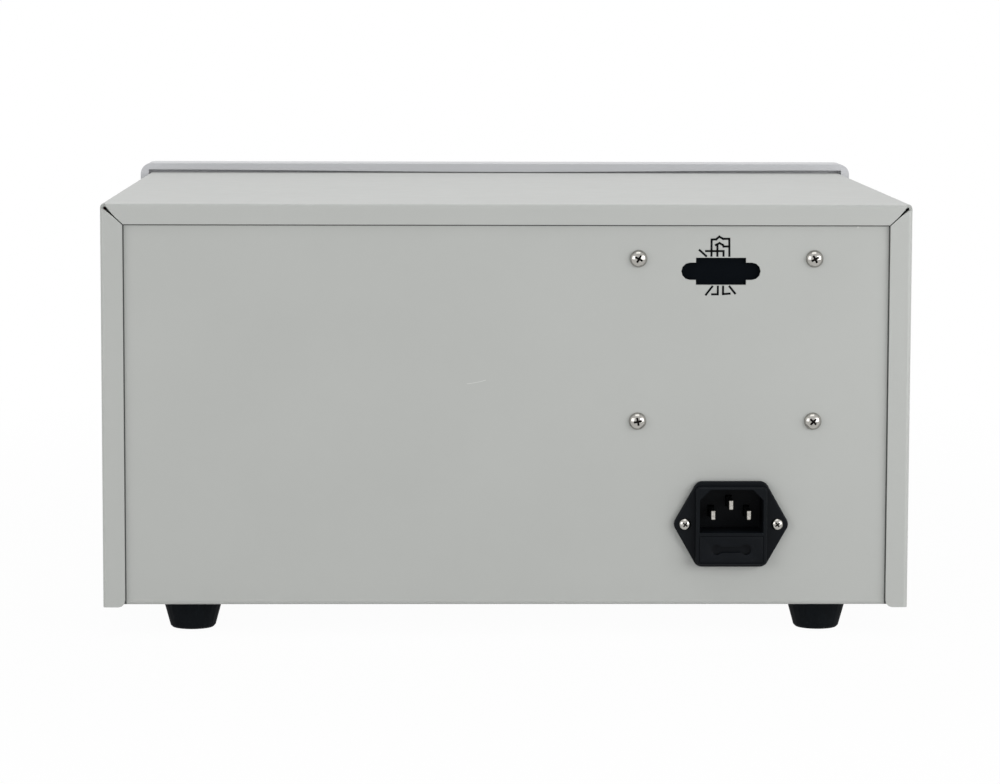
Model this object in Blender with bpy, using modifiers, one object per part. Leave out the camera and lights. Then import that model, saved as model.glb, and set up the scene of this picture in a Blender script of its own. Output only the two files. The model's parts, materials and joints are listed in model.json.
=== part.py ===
"""Leakage current tester: a bench instrument in a folded steel case.

The front faces -Y and the rear panel faces +Y. The origin lies on the surface that the
feet stand on, under the middle of the whole instrument. Every size is in metres.
"""

import math

import bmesh
import bpy
from mathutils import Matrix, Vector

MM = 0.001

# Clearances
FIT = 0.3 * MM
RUNNING = 0.4 * MM

# Edge radii of mouldings, and the steps of turned pieces
MOULDED_EDGE = 0.8 * MM
FINE_EDGE = 0.5 * MM
HALF_ROUND_STEPS = 6
COARSE_STEPS = 12
ROUND_STEPS = 16
FINE_STEPS = 24

# Sheet metal
SHEET = 1.2 * MM
BEND = 1.5 * MM
BEND_STEPS = 3

# Cover, folded from one sheet
COVER_WIDTH = 316.0 * MM
COVER_HEIGHT = 158.4 * MM
COVER_DEPTH = 260.0 * MM
TOP_FLANGE = 8.0 * MM
SIDE_FLANGE = 8.6 * MM
FLANGE_CORNER = 2.6 * MM
MITRE_GAP = 0.3 * MM
MITRE_RELIEF = 2.0 * MM
MITRE_ROWS = (0.3, 1)
COVER_DROP = 0.8 * MM

# Tray, folded from one sheet with the rear panel
SIDE_LIP = 18.0 * MM
FRONT_LIP = 8.0 * MM
TOP_LIP = 9.0 * MM
PANEL_CORNER = 7.0 * MM
LIP_INSET = PANEL_CORNER + SHEET

# Vent slots
VENT_WIDTH = 3.0 * MM
VENT_LENGTH = 34.0 * MM
VENT_PITCH = 8.0 * MM
VENT_COUNT = 8
SIDE_VENT_INSET = 34.0 * MM
SIDE_VENT_DROP = 38.0 * MM

# Feet
FOOT_HEIGHT = 11.5 * MM
FOOT_TOP_RADIUS = 11.6 * MM
FOOT_BASE_RADIUS = 9.0 * MM
FOOT_COLLAR = 1.2 * MM
FOOT_HOLLOW_RADIUS = 4.0 * MM
FOOT_HOLLOW_DEPTH = 6.0 * MM
FOOT_SIDE_INSET = 33.8 * MM
FOOT_INSET = 22.0 * MM

# Bezel and front panel
BEZEL_OVERHANG = 4.1 * MM
BEZEL_DEPTH = 20.0 * MM
BEZEL_BORDER = 12.0 * MM
BEZEL_CORNER = 4.8 * MM
BEZEL_EDGE = 1.2 * MM
BEZEL_GAP = 1.2 * MM
SPIGOT_DEPTH = 10.0 * MM
SPIGOT_EDGE = 1.0 * MM
PANEL_THICKNESS = 2.0 * MM
PANEL_RECESS = 3.0 * MM
PANEL_LEDGE = 3.0 * MM

# Display
WINDOW_HEIGHT = 42.0 * MM
WINDOW_THICKNESS = 1.6 * MM
WINDOW_MARGIN = 10.0 * MM
WINDOW_COLUMN = 102.0 * MM
DISPLAY_HEIGHT = 26.0 * MM
DISPLAY_MARGIN = 5.0 * MM
DISPLAY_GAP = 8.0 * MM
DISPLAY_NAMES = ("voltage_display", "current_display", "timer_display")

# Control board behind the front panel
BOARD_THICKNESS = 1.6 * MM
BOARD_SETBACK = 12.0 * MM
BOARD_MARGIN = 6.0 * MM
STUD_RADIUS = 2.5 * MM
RELAY_SIZE = (28.0 * MM, 15.0 * MM, 20.0 * MM)
CAPACITOR_RADIUS = 8.0 * MM
CAPACITOR_LENGTH = 24.0 * MM

# Range keys
KEY_SIZE = 9.6 * MM
KEY_PROUD = 4.5 * MM
KEY_TRAVEL = 2.5 * MM
KEY_RIM = 1.4 * MM
KEY_PITCH = 24.0 * MM
KEY_SWITCH_DEPTH = 3.0 * MM
KEY_NAMES = ("range_key_low", "range_key_mid", "range_key_high")

# Power switch
SWITCH_FLANGE = 2.4 * MM
SWITCH_BORDER = 2.2 * MM
SWITCH_WALL = 1.5 * MM
SWITCH_DEPTH = 22.0 * MM
ROCKER_RADIUS = 12.5 * MM
ROCKER_WIDTH = 18.0 * MM
ROCKER_PROUD = 6.4 * MM
ROCKER_VALLEY = 3.4 * MM
ROCKER_BACK = 4.0 * MM
ROCKER_AXLE_RADIUS = 1.6 * MM
ROCKER_AXLE_REACH = 0.9 * MM
ROCKER_TILT = 11.0

# Start and reset buttons
BUTTON_RADIUS = 8.6 * MM
BUTTON_EDGE = 1.4 * MM
BUTTON_PROUD = 3.6 * MM
BUTTON_TRAVEL = 3.0 * MM
BUTTON_LENGTH = 11.0 * MM
BUTTON_FLANGE = 3.0 * MM
BUTTON_FLANGE_RADIUS = 13.0 * MM
BUTTON_BARREL_RADIUS = 10.8 * MM
BUTTON_FLOOR = 2.0 * MM

# Limit knob and its potentiometer
LIMIT_KNOB_RADIUS = 12.0 * MM
LIMIT_KNOB_LENGTH = 15.0 * MM
LIMIT_KNOB_REST = -150.0
POT_RADIUS = 8.5 * MM
POT_DEPTH = 10.0 * MM
BUSHING_RADIUS = 4.8 * MM
BUSHING_PROUD = 4.0 * MM

# Voltage knob
VOLTAGE_KNOB_RADIUS = 23.0 * MM
VOLTAGE_KNOB_LENGTH = 22.0 * MM
KNOB_CLEARANCE = 0.8 * MM
KNOB_SKIRT = 3.5 * MM
KNOB_SHRINK = 0.82
KNOB_FLUTE = 1.0 * MM
KNOB_FLUTES = 12
KNOB_REST = -160.0
SHAFT_RADIUS = 3.0 * MM
SHAFT_ENGAGEMENT = 0.6
POINTER_SHARE = 0.6
POINTER_WIDTH = 1.6 * MM
POINTER_DEPTH = 0.8 * MM

# Variable transformer behind the voltage knob
VARIAC_RADIUS = 51.0 * MM
VARIAC_BORE = 24.0 * MM
VARIAC_THICKNESS = 44.0 * MM
VARIAC_EDGE = 7.0 * MM
VARIAC_CLEARANCE = 1.4 * MM
BRUSH_HUB_RADIUS = 11.0 * MM
BRUSH_ARM_WIDTH = 12.0 * MM
BRUSH_ARM_THICKNESS = 5.0 * MM
BRUSH_WIDTH = 7.2 * MM
BRUSH_REACH = 40.0 * MM
BRUSH_CLEARANCE = 2.0 * MM
BRACKET_WIDTH = 84.0 * MM
BRACKET_SHEET = 2.5 * MM
BRACKET_BEND = 3.5 * MM
BRACKET_FOOT = 26.0 * MM

# Isolating transformer
TRANSFORMER_SIDE_INSET = 80.0 * MM
TRANSFORMER_INSET = 62.0 * MM
CORE_WIDTH = 96.0 * MM
CORE_HEIGHT = 80.0 * MM
CORE_DEPTH = 44.0 * MM
CORE_LIMB = 16.0 * MM
COIL_OVERHANG = 14.0 * MM
COIL_EDGE = 5.0 * MM
STRAP_SHEET = 1.5 * MM
STRAP_WIDTH = 34.0 * MM
STRAP_FOOT = 14.0 * MM

# Pilot lamps
LAMP_RISE = 8.0 * MM
LAMP_RADIUS = 4.0 * MM
LAMP_FLANGE_RADIUS = 5.6 * MM
LAMP_FLANGE = 1.2 * MM
LAMP_DOME = 3.4 * MM
LAMP_DEPTH = 14.0 * MM
LENS_DOME = ((0, 1), (0.5, 0.9), (0.85, 0.6))
LAMP_NAMES = ("lamp_testing", "lamp_pass", "lamp_fail")

# Test sockets
SOCKET_SPACING = 22.0 * MM
SOCKET_NAMES = ("test_socket_high", "test_socket_low")
SOCKET_FLANGE_RADIUS = 9.5 * MM
SOCKET_FLANGE = 4.0 * MM
SOCKET_BARREL_RADIUS = 7.0 * MM
SOCKET_BORE = 4.0 * MM
SOCKET_DEPTH = 24.0 * MM
SOCKET_FLOOR = 2.5 * MM

# Domed head of every pan-head screw, as shares of its radius and height
SCREW_DOME = ((0, 1), (0.55, 0.92), (0.9, 0.6), (1, 0.15), (1, 0))

# Interface port in the rear panel
PORT_INSET = 74.5 * MM
PORT_DROP = 26.1 * MM
PORT_SLOT_LENGTH = 31.0 * MM
PORT_SLOT_HEIGHT = 6.8 * MM
PORT_WIDTH = 19.6 * MM
PORT_HEIGHT = 10.6 * MM

# Interface board on its four standoffs
REAR_SCREW_INSET = 72.35 * MM
REAR_SCREW_SPACING = 68.7 * MM
REAR_SCREW_DROP = 21.2 * MM
REAR_SCREW_OVER_INLET = 40.4 * MM
REAR_SCREW_HEAD = 3.45 * MM
REAR_SCREW_HEAD_HEIGHT = 2.3 * MM
REAR_SCREW_SHANK = 1.5 * MM
REAR_SCREW_LENGTH = 9.0 * MM
STANDOFF_RADIUS = 3.2 * MM
STANDOFF_LENGTH = 12.0 * MM
INSULATOR_THICKNESS = 0.8 * MM
INTERFACE_MARGIN = 5.0 * MM

# Mains inlet with its fuse drawer
INLET_INSET = 69.85 * MM
INLET_RISE = 33.1 * MM
INLET_TIP = 22.9 * MM
INLET_FLANGE_HEIGHT = 33.8 * MM
INLET_FLANGE_TOP = 26.7 * MM
INLET_FLANGE_CORNER = 3.4 * MM
INLET_FLANGE = 2.2 * MM
INLET_BLOCK_WIDTH = 28.0 * MM
INLET_BLOCK_HEIGHT = 30.9 * MM
INLET_BLOCK_SHIFT = -0.55 * MM
INLET_PROUD = 5.0 * MM
INLET_CORNER = 1.6 * MM
INLET_BODY_DEPTH = 24.0 * MM
RECESS_WIDTH = 25.0 * MM
RECESS_HEIGHT = 17.1 * MM
RECESS_RISE = 5.45 * MM
RECESS_CHAMFER = 4.2 * MM
RECESS_DEPTH = 17.0 * MM
PIN_PITCH = 7.0 * MM
PIN_OFFSET = 2.0 * MM
PIN_WIDTH = 2.0 * MM
PIN_HEIGHT = 4.0 * MM
PIN_SETBACK = 3.0 * MM
TAB_HEIGHT = 6.3 * MM
TAB_THICKNESS = 0.8 * MM
TAB_LENGTH = 9.0 * MM
INLET_SCREW_SPACING = 36.2 * MM
INLET_SCREW_HEAD = 2.4 * MM
INLET_SCREW_HEAD_HEIGHT = 1.4 * MM
INLET_SCREW_SHANK = 1.25 * MM
INLET_SCREW_LENGTH = 8.0 * MM

# Fuse drawer
DRAWER_WIDTH = 24.6 * MM
DRAWER_HEIGHT = 10.2 * MM
DRAWER_DROP = 9.7 * MM
DRAWER_DEPTH = 19.0 * MM
DRAWER_PULL_WIDTH = 15.6 * MM
DRAWER_PULL_END_RADIUS = 2.1 * MM
DRAWER_PULL_HEIGHT = 2.4 * MM
DRAWER_PULL_DEPTH = 2.0 * MM
FUSE_RADIUS = 2.6 * MM
FUSE_LENGTH = 20.0 * MM
FUSE_CAP_SHEET = 0.2 * MM
FUSE_SETBACK = 5.5 * MM

# Screws that hold the cover to the tray
SIDE_SCREW_RISE = 11.0 * MM
SIDE_SCREW_INSET = 46.0 * MM
SIDE_SCREW_HEAD = 3.4 * MM
SIDE_SCREW_HEAD_HEIGHT = 2.1 * MM
SIDE_SCREW_SHANK = 1.9 * MM
SIDE_SCREW_LENGTH = 8.0 * MM

# Heights
TRAY_Z = FOOT_HEIGHT + FIT
TRAY_FLOOR_Z = TRAY_Z + SHEET
COVER_LOW_Z = TRAY_Z - COVER_DROP
COVER_TOP_Z = COVER_LOW_Z + COVER_HEIGHT
COVER_INSIDE_Z = COVER_TOP_Z - SHEET
MIDDLE_Z = (COVER_LOW_Z + COVER_TOP_Z) / 2

# Depths, measured so that the whole instrument is centred on the origin
VOLTAGE_KNOB_REACH = KNOB_CLEARANCE + VOLTAGE_KNOB_LENGTH
FRONT_REACH = COVER_DEPTH + BEZEL_GAP + BEZEL_DEPTH - PANEL_RECESS + VOLTAGE_KNOB_REACH
REAR_REACH = INLET_PROUD - SHEET
REAR_Y = (FRONT_REACH - REAR_REACH) / 2
COVER_FRONT_Y = REAR_Y - COVER_DEPTH
PANEL_REAR_FACE_Y = REAR_Y - SHEET - FIT
PANEL_REAR_INSIDE_Y = PANEL_REAR_FACE_Y - SHEET
BEZEL_REAR_Y = COVER_FRONT_Y - BEZEL_GAP
BEZEL_FRONT_Y = BEZEL_REAR_Y - BEZEL_DEPTH
PANEL_Y = BEZEL_FRONT_Y + PANEL_RECESS
PANEL_BACK_Y = PANEL_Y + PANEL_THICKNESS
SPIGOT_REAR_Y = COVER_FRONT_Y + SPIGOT_DEPTH
TRAY_FRONT_Y = SPIGOT_REAR_Y + FIT
BOARD_FRONT_Y = PANEL_BACK_Y + BOARD_SETBACK
BOARD_BACK_Y = BOARD_FRONT_Y + BOARD_THICKNESS

# Widths
COVER_HALF = COVER_WIDTH / 2
TRAY_HALF = COVER_HALF - SHEET - FIT
BEZEL_WIDTH = COVER_WIDTH + 2 * BEZEL_OVERHANG
BEZEL_HEIGHT = COVER_HEIGHT + 2 * BEZEL_OVERHANG
PANEL_OPENING_WIDTH = BEZEL_WIDTH - 2 * BEZEL_BORDER
PANEL_OPENING_HEIGHT = BEZEL_HEIGHT - 2 * BEZEL_BORDER
PANEL_WIDTH = PANEL_OPENING_WIDTH + 2 * PANEL_LEDGE
PANEL_HEIGHT = PANEL_OPENING_HEIGHT + 2 * PANEL_LEDGE

# Places on the rear panel, from the cover's edges
PORT_X = PORT_INSET - COVER_HALF
REAR_SCREW_X = REAR_SCREW_INSET - COVER_HALF
INLET_X = INLET_INSET - COVER_HALF
INLET_Z = COVER_LOW_Z + INLET_RISE
FOOT_X = COVER_HALF - FOOT_SIDE_INSET
TRANSFORMER_X = COVER_HALF - TRANSFORMER_SIDE_INSET

# Sizes of the switch, from its rocker
SWITCH_POCKET_WIDTH = ROCKER_WIDTH + 2 * RUNNING
SWITCH_POCKET_HEIGHT = 2 * (ROCKER_RADIUS + RUNNING)
SWITCH_BODY_WIDTH = SWITCH_POCKET_WIDTH + 2 * SWITCH_WALL
SWITCH_BODY_HEIGHT = SWITCH_POCKET_HEIGHT + 2 * SWITCH_WALL
SWITCH_WIDTH = SWITCH_BODY_WIDTH + 2 * SWITCH_BORDER
SWITCH_HEIGHT = SWITCH_BODY_HEIGHT + 2 * SWITCH_BORDER


def spread(sizes, start, end):
    """Centres of things of these sizes, set out between two ends with equal gaps."""
    gap = (end - start - sum(sizes)) / (len(sizes) + 1)
    centres = []
    reach = start
    for size in sizes:
        centres.append(reach + gap + size / 2)
        reach += gap + size
    return centres


# Places on the front panel, with even gaps between the controls
OPENING_HALF = PANEL_OPENING_WIDTH / 2
CONTROL_WIDTHS = (
    SWITCH_WIDTH,
    2 * BUTTON_FLANGE_RADIUS,
    2 * BUTTON_FLANGE_RADIUS,
    2 * LIMIT_KNOB_RADIUS,
    2 * SOCKET_FLANGE_RADIUS,
    2 * VARIAC_RADIUS,
)
ROW_PLACES = spread(CONTROL_WIDTHS, -OPENING_HALF, OPENING_HALF)
SWITCH_X, START_X, RESET_X, LIMIT_X, SOCKET_X, VOLTAGE_X = ROW_PLACES
CONTROL_HEIGHT = SOCKET_SPACING + 2 * SOCKET_FLANGE_RADIUS
ROW_HEIGHTS = (CONTROL_HEIGHT, KEY_SIZE + 2 * KEY_RIM, WINDOW_HEIGHT)
OPENING_LOW_Z = MIDDLE_Z - PANEL_OPENING_HEIGHT / 2
OPENING_TOP_Z = MIDDLE_Z + PANEL_OPENING_HEIGHT / 2
ROW_Z, KEY_Z, WINDOW_Z = spread(ROW_HEIGHTS, OPENING_LOW_Z, OPENING_TOP_Z)
WINDOW_WIDTH = PANEL_OPENING_WIDTH - WINDOW_MARGIN - WINDOW_COLUMN
WINDOW_X = WINDOW_MARGIN + WINDOW_WIDTH / 2 - OPENING_HALF
DISPLAY_WIDTH = (WINDOW_WIDTH - 2 * DISPLAY_MARGIN - 2 * DISPLAY_GAP) / 3
DISPLAY_PITCH = DISPLAY_WIDTH + DISPLAY_GAP
WINDOW_END = WINDOW_X + WINDOW_WIDTH / 2
LAMP_PLACES = spread([2 * LAMP_FLANGE_RADIUS] * len(LAMP_NAMES), WINDOW_END, OPENING_HALF)
LAMP_Z = WINDOW_Z + LAMP_RISE
VOLTAGE_Z = TRAY_Z + FRONT_LIP + VARIAC_CLEARANCE + VARIAC_RADIUS
VARIAC_FRONT_Y = BOARD_BACK_Y + BRUSH_CLEARANCE + 1.5 * BRUSH_ARM_THICKNESS + FIT
VARIAC_REAR_Y = VARIAC_FRONT_Y + VARIAC_THICKNESS

# Paint, plastic and metal
PAINT = (0.705, 0.715, 0.705)
DARK_PLASTIC = (0.022, 0.024, 0.027)
NICKEL = (0.72, 0.70, 0.66)
COPPER = (0.62, 0.30, 0.12)
BOARD_GREEN = (0.03, 0.16, 0.07)
STEEL = (0.45, 0.45, 0.47)

FACING = {
    "up": (0, 0, 0),
    "front": (math.pi / 2, 0, 0),
    "rear": (-math.pi / 2, 0, 0),
    "right": (0, math.pi / 2, 0),
    "left": (0, -math.pi / 2, 0),
}
TINY = 0.00001
OVERRUN = 2.0 * MM


def empty_scene():
    """Removes the objects that the scene opened with."""
    for obj in list(bpy.data.objects):
        bpy.data.objects.remove(obj, do_unlink=True)


def new_collection(name):
    collection = bpy.data.collections.new(name)
    bpy.context.scene.collection.children.link(collection)
    return collection


empty_scene()
PARTS = new_collection("leakage_current_tester")
CUTTERS = new_collection("cutters")


def material(name, colour, roughness=0.5, metallic=0.0, alpha=1.0):
    """A painted, moulded or bare metal surface of one colour."""
    surface = bpy.data.materials.new(name)
    surface.use_nodes = True
    shader = surface.node_tree.nodes["Principled BSDF"]
    shader.inputs["Base Color"].default_value = (*colour, 1.0)
    shader.inputs["Roughness"].default_value = roughness
    shader.inputs["Metallic"].default_value = metallic
    shader.inputs["Alpha"].default_value = alpha
    return surface


def finish(obj, colour, roughness=0.5, metallic=0.0, alpha=1.0):
    obj.data.materials.append(material(obj.name, colour, roughness, metallic, alpha))
    return obj


def near(a, b):
    return abs(a - b) < TINY


def circle(radius, steps, centre=(0.0, 0.0)):
    """Outline of a circle."""
    points = []
    for step in range(steps):
        angle = 2 * math.pi * step / steps
        points.append((centre[0] + radius * math.cos(angle), centre[1] + radius * math.sin(angle)))
    return points


def arc(radius, start, end, steps, centre=(0.0, 0.0)):
    """Points along an arc between two angles in degrees."""
    points = []
    for step in range(steps + 1):
        angle = math.radians(start + (end - start) * step / steps)
        points.append((centre[0] + radius * math.cos(angle), centre[1] + radius * math.sin(angle)))
    return points


def rectangle(width, height, centre=(0.0, 0.0)):
    """The corners of a rectangle, anticlockwise."""
    x, y = centre
    return [
        (x - width / 2, y - height / 2),
        (x + width / 2, y - height / 2),
        (x + width / 2, y + height / 2),
        (x - width / 2, y + height / 2),
    ]


def rounded(corners, radius, steps=3):
    """The outline through the corners, with each corner turned to an arc."""
    outline = []
    for index, corner in enumerate(corners):
        here = Vector(corner)
        back = (Vector(corners[index - 1]) - here).normalized()
        ahead = (Vector(corners[(index + 1) % len(corners)]) - here).normalized()
        half = back.angle(ahead) / 2
        centre = here + (back + ahead).normalized() * radius / math.sin(half)
        start = here + back * radius / math.tan(half)
        end = here + ahead * radius / math.tan(half)
        for step in range(steps + 1):
            point = start.lerp(end, step / steps)
            outline.append(tuple(centre + (point - centre).normalized() * radius))
    return outline


def slot(length, width, centre, steps=2):
    """Outline of a slot with round ends that runs along the second axis."""
    x, y = centre
    run = (length - width) / 2
    far_end = arc(width / 2, 0, 180, steps, (x, y + run))
    near_end = arc(width / 2, 180, 360, steps, (x, y - run))
    return far_end + near_end


def fluted(radius, depth, count, per_flute=4):
    """Outline of a grip whose edge rises and falls in even flutes."""
    points = []
    total = count * per_flute
    for step in range(total):
        angle = 2 * math.pi * (step + 0.5) / total
        reach = radius - depth * (0.5 - 0.5 * math.cos(count * angle))
        points.append((reach * math.cos(angle), reach * math.sin(angle)))
    return points


def place(name, mesh, centre, facing="up", cutter=False):
    """Puts a mesh in the scene as a piece, or as a guide that cuts or joins pieces."""
    obj = bpy.data.objects.new(name, mesh)
    obj.location = centre
    obj.rotation_euler = FACING[facing]
    if cutter:
        CUTTERS.objects.link(obj)
        obj.hide_render = True
        obj.display_type = "WIRE"
    else:
        PARTS.objects.link(obj)
    return obj


def mesh_from(name, bm):
    mesh = bpy.data.meshes.new(name)
    bm.to_mesh(mesh)
    bm.free()
    return mesh


def round_edges(obj, radius, steps=2, sharper_than=40):
    """Rounds the edges of a piece that turn by more than an angle in degrees."""
    bevel = obj.modifiers.new("rounded edges", "BEVEL")
    bevel.width = radius
    bevel.segments = steps
    bevel.limit_method = "ANGLE"
    bevel.angle_limit = math.radians(sharper_than)
    return obj


def block(name, size, centre, edge=0.0, cutter=False):
    """A rectangular block, with rounded edges where edge is given."""
    bm = bmesh.new()
    bmesh.ops.create_cube(bm, size=1)
    bmesh.ops.scale(bm, vec=size, verts=bm.verts)
    obj = place(name, mesh_from(name, bm), centre, cutter=cutter)
    if edge:
        round_edges(obj, edge)
    return obj


def flat(name, outlines, thickness, centre, facing="front", cutter=False):
    """A flat piece with the outlines' shape and holes, its thickness centred on its place."""
    curve = bpy.data.curves.new(name, "CURVE")
    curve.dimensions = "2D"
    curve.fill_mode = "BOTH"
    curve.extrude = thickness / 2
    for outline in outlines:
        spline = curve.splines.new("POLY")
        spline.points.add(len(outline) - 1)
        for point, (x, y) in zip(spline.points, outline):
            point.co = (x, y, 0, 1)
        spline.use_cyclic_u = True
    guide = bpy.data.objects.new(name + "_outline", curve)
    CUTTERS.objects.link(guide)
    graph = bpy.context.evaluated_depsgraph_get()
    mesh = bpy.data.meshes.new_from_object(guide.evaluated_get(graph))
    bpy.data.objects.remove(guide)
    bm = bmesh.new()
    bm.from_mesh(mesh)
    bmesh.ops.remove_doubles(bm, verts=bm.verts, dist=TINY)
    if len(outlines) == 1:
        bmesh.ops.dissolve_limit(bm, angle_limit=math.radians(1), verts=bm.verts, edges=bm.edges)
    bmesh.ops.recalc_face_normals(bm, faces=bm.faces)
    bm.to_mesh(mesh)
    bm.free()
    return place(name, mesh, centre, facing, cutter)


def turned(name, profile, centre, facing="up", steps=FINE_STEPS, cutter=False):
    """A turned piece: the profile runs down its outer side, as pairs of radius and height."""
    bm = bmesh.new()
    verts = [bm.verts.new((radius, 0, height)) for radius, height in profile]
    for first, second in zip(verts, verts[1:]):
        bm.edges.new((first, second))
    if profile[0][0] > TINY:
        bm.edges.new((verts[-1], verts[0]))
    obj = place(name, mesh_from(name, bm), centre, facing, cutter)
    screw = obj.modifiers.new("turned", "SCREW")
    screw.angle = 2 * math.pi
    screw.steps = steps
    screw.render_steps = steps
    screw.use_merge_vertices = True
    screw.merge_threshold = TINY
    return obj


def combine(target, other, operation):
    """Cuts the target by the other shape, or joins the two."""
    boolean = target.modifiers.new(other.name, "BOOLEAN")
    boolean.operation = operation
    boolean.solver = "EXACT"
    boolean.object = other
    return target


def cut(target, *others):
    for other in others:
        combine(target, other, "DIFFERENCE")
    return target


def join(target, *others):
    for other in others:
        combine(target, other, "UNION")
    return target


def rod(name, radius, front, rear, x, z, steps=ROUND_STEPS):
    """A round bar along the depth of the instrument, as a guide for holes and bosses."""
    profile = [(0, rear - front), (radius, rear - front), (radius, 0), (0, 0)]
    return turned(name, profile, (x, front, z), "rear", steps, cutter=True)


def pan_screw(name, head, height, shank, length, seat, facing):
    """A pan-head screw whose head stands on the seat point."""
    dome = [(across * head, up * height) for across, up in SCREW_DOME]
    profile = dome + [(shank, 0), (shank, -length), (0, -length)]
    return finish(turned(name, profile, seat, facing, COARSE_STEPS), NICKEL, 0.25, 1.0)


# Folded sheet


def flat_sheet(half_width, front, rear, height):
    """A level rectangle of sheet before it is folded."""
    bm = bmesh.new()
    bmesh.ops.create_grid(bm, x_segments=1, y_segments=1, size=1)
    for vertex in bm.verts:
        along = rear if vertex.co.y > 0 else front
        vertex.co = (math.copysign(half_width, vertex.co.x), along, height)
    return bm


def score(bm, point, normal):
    """Divides the sheet along a plane, so that a fold can end there."""
    geometry = bm.verts[:] + bm.edges[:] + bm.faces[:]
    bmesh.ops.bisect_plane(bm, geom=geometry, plane_co=point, plane_no=normal)


def fold(bm, on_edge, offset):
    """Folds a new leaf out of the free edges that lie where on_edge says."""
    edges = []
    for edge in bm.edges:
        if edge.is_boundary and all(on_edge(vertex.co) for vertex in edge.verts):
            edges.append(edge)
    leaf = bmesh.ops.extrude_edge_only(bm, edges=edges)["geom"]
    verts = [item for item in leaf if isinstance(item, bmesh.types.BMVert)]
    bmesh.ops.translate(bm, verts=verts, vec=offset)
    return verts


def folded_sheet(name, bm, outside):
    """The folded surface as a piece of sheet metal; outside is the first leaf's outer side."""
    bmesh.ops.recalc_face_normals(bm, faces=bm.faces)
    bm.faces.ensure_lookup_table()
    level = [face for face in bm.faces if abs(face.normal.z) > 0.9]
    widest = max(level, key=lambda face: face.calc_area())
    if widest.normal.z * outside < 0:
        bmesh.ops.reverse_faces(bm, faces=bm.faces)
    obj = place(name, mesh_from(name, bm), (0, 0, 0))
    round_edges(obj, BEND, BEND_STEPS)
    solidify = obj.modifiers.new("sheet", "SOLIDIFY")
    solidify.thickness = SHEET
    solidify.offset = -1
    solidify.use_even_offset = True
    return obj


def cover():
    """Top and sides in one sheet, with flanges folded in round the rear panel."""
    bm = flat_sheet(COVER_HALF, COVER_FRONT_Y, REAR_Y, COVER_TOP_Z)
    for side in (-1, 1):
        fold(bm, lambda co: near(co.x, side * COVER_HALF), (0, 0, -COVER_HEIGHT))
    relief_x = COVER_HALF - MITRE_RELIEF
    relief_z = COVER_TOP_Z - MITRE_RELIEF
    relief_y = REAR_Y - MITRE_RELIEF
    for side in (-1, 1):
        score(bm, (side * relief_x, 0, 0), (1, 0, 0))
    score(bm, (0, 0, relief_z), (0, 0, 1))
    score(bm, (0, relief_y, 0), (0, 1, 0))
    notches = []
    for face in bm.faces:
        x, y, z = face.calc_center_median()
        if abs(x) > relief_x and y > relief_y and z > relief_z:
            notches.append(face)
    bmesh.ops.delete(bm, geom=notches, context="FACES")
    corners = []
    row_x = COVER_HALF
    row_z = COVER_TOP_Z
    for share in MITRE_ROWS:
        next_x = COVER_HALF - share * SIDE_FLANGE
        next_z = COVER_TOP_Z - share * TOP_FLANGE

        def on_top_row(co):
            return near(co.y, REAR_Y) and near(co.z, row_z) and abs(co.x) < relief_x + TINY

        for vertex in fold(bm, on_top_row, (0, 0, next_z - row_z)):
            vertex.co.x = math.copysign(next_x - MITRE_GAP, vertex.co.x)
        for side in (-1, 1):

            def on_side_row(co):
                return near(co.y, REAR_Y) and near(co.x, side * row_x) and co.z < relief_z + TINY

            for vertex in fold(bm, on_side_row, (side * (next_x - row_x), 0, 0)):
                if vertex.co.z > MIDDLE_Z:
                    vertex.co.z = next_z - MITRE_GAP
                elif share == 1:
                    corners.append(vertex)
        row_x = next_x
        row_z = next_z
    bmesh.ops.bevel(bm, geom=corners, offset=FLANGE_CORNER, segments=3, profile=0.5, affect="VERTICES")
    return finish(folded_sheet("cover", bm, 1), PAINT, 0.45)


def tray_lips(bm):
    """The lips of the tray: up at its sides and front, and forward along the panel's top."""
    inner_x = TRAY_HALF - LIP_INSET
    lip_front = TRAY_FRONT_Y + LIP_INSET
    lip_rear = PANEL_REAR_FACE_Y - LIP_INSET
    for side in (-1, 1):
        score(bm, (side * inner_x, 0, 0), (1, 0, 0))
    score(bm, (0, lip_front, 0), (0, 1, 0))
    score(bm, (0, lip_rear, 0), (0, 1, 0))

    def on_front_edge(co):
        return near(co.y, TRAY_FRONT_Y) and abs(co.x) < inner_x + TINY

    def on_top_edge(co):
        return near(co.y, PANEL_REAR_FACE_Y) and co.z > MIDDLE_Z and abs(co.x) < inner_x + TINY

    for side in (-1, 1):

        def on_side_edge(co):
            inside = lip_front - TINY < co.y < lip_rear + TINY
            return near(co.x, side * TRAY_HALF) and near(co.z, TRAY_Z) and inside

        fold(bm, on_side_edge, (0, 0, SIDE_LIP))
    fold(bm, on_front_edge, (0, 0, FRONT_LIP))
    fold(bm, on_top_edge, (0, -TOP_LIP, 0))
    corners = []
    for vertex in bm.verts:
        at_side = near(abs(vertex.co.x), TRAY_HALF)
        if at_side and near(vertex.co.y, PANEL_REAR_FACE_Y) and vertex.co.z > MIDDLE_Z:
            corners.append(vertex)
    bmesh.ops.bevel(bm, geom=corners, offset=PANEL_CORNER, segments=1, profile=0.5, affect="VERTICES")


def chassis():
    """Tray and rear panel in one folded sheet, with the rear cut-outs and floor vents."""
    bm = flat_sheet(TRAY_HALF, TRAY_FRONT_Y, PANEL_REAR_FACE_Y, TRAY_Z)
    rise = COVER_INSIDE_Z - FIT - TRAY_Z
    fold(bm, lambda co: near(co.y, PANEL_REAR_FACE_Y), (0, 0, rise))
    tray_lips(bm)
    obj = folded_sheet("chassis", bm, -1)
    cut(obj, rear_cutouts(), floor_vents(), side_cutter("tray_screws", side_screw_outlines()))
    return finish(obj, PAINT, 0.45)


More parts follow.
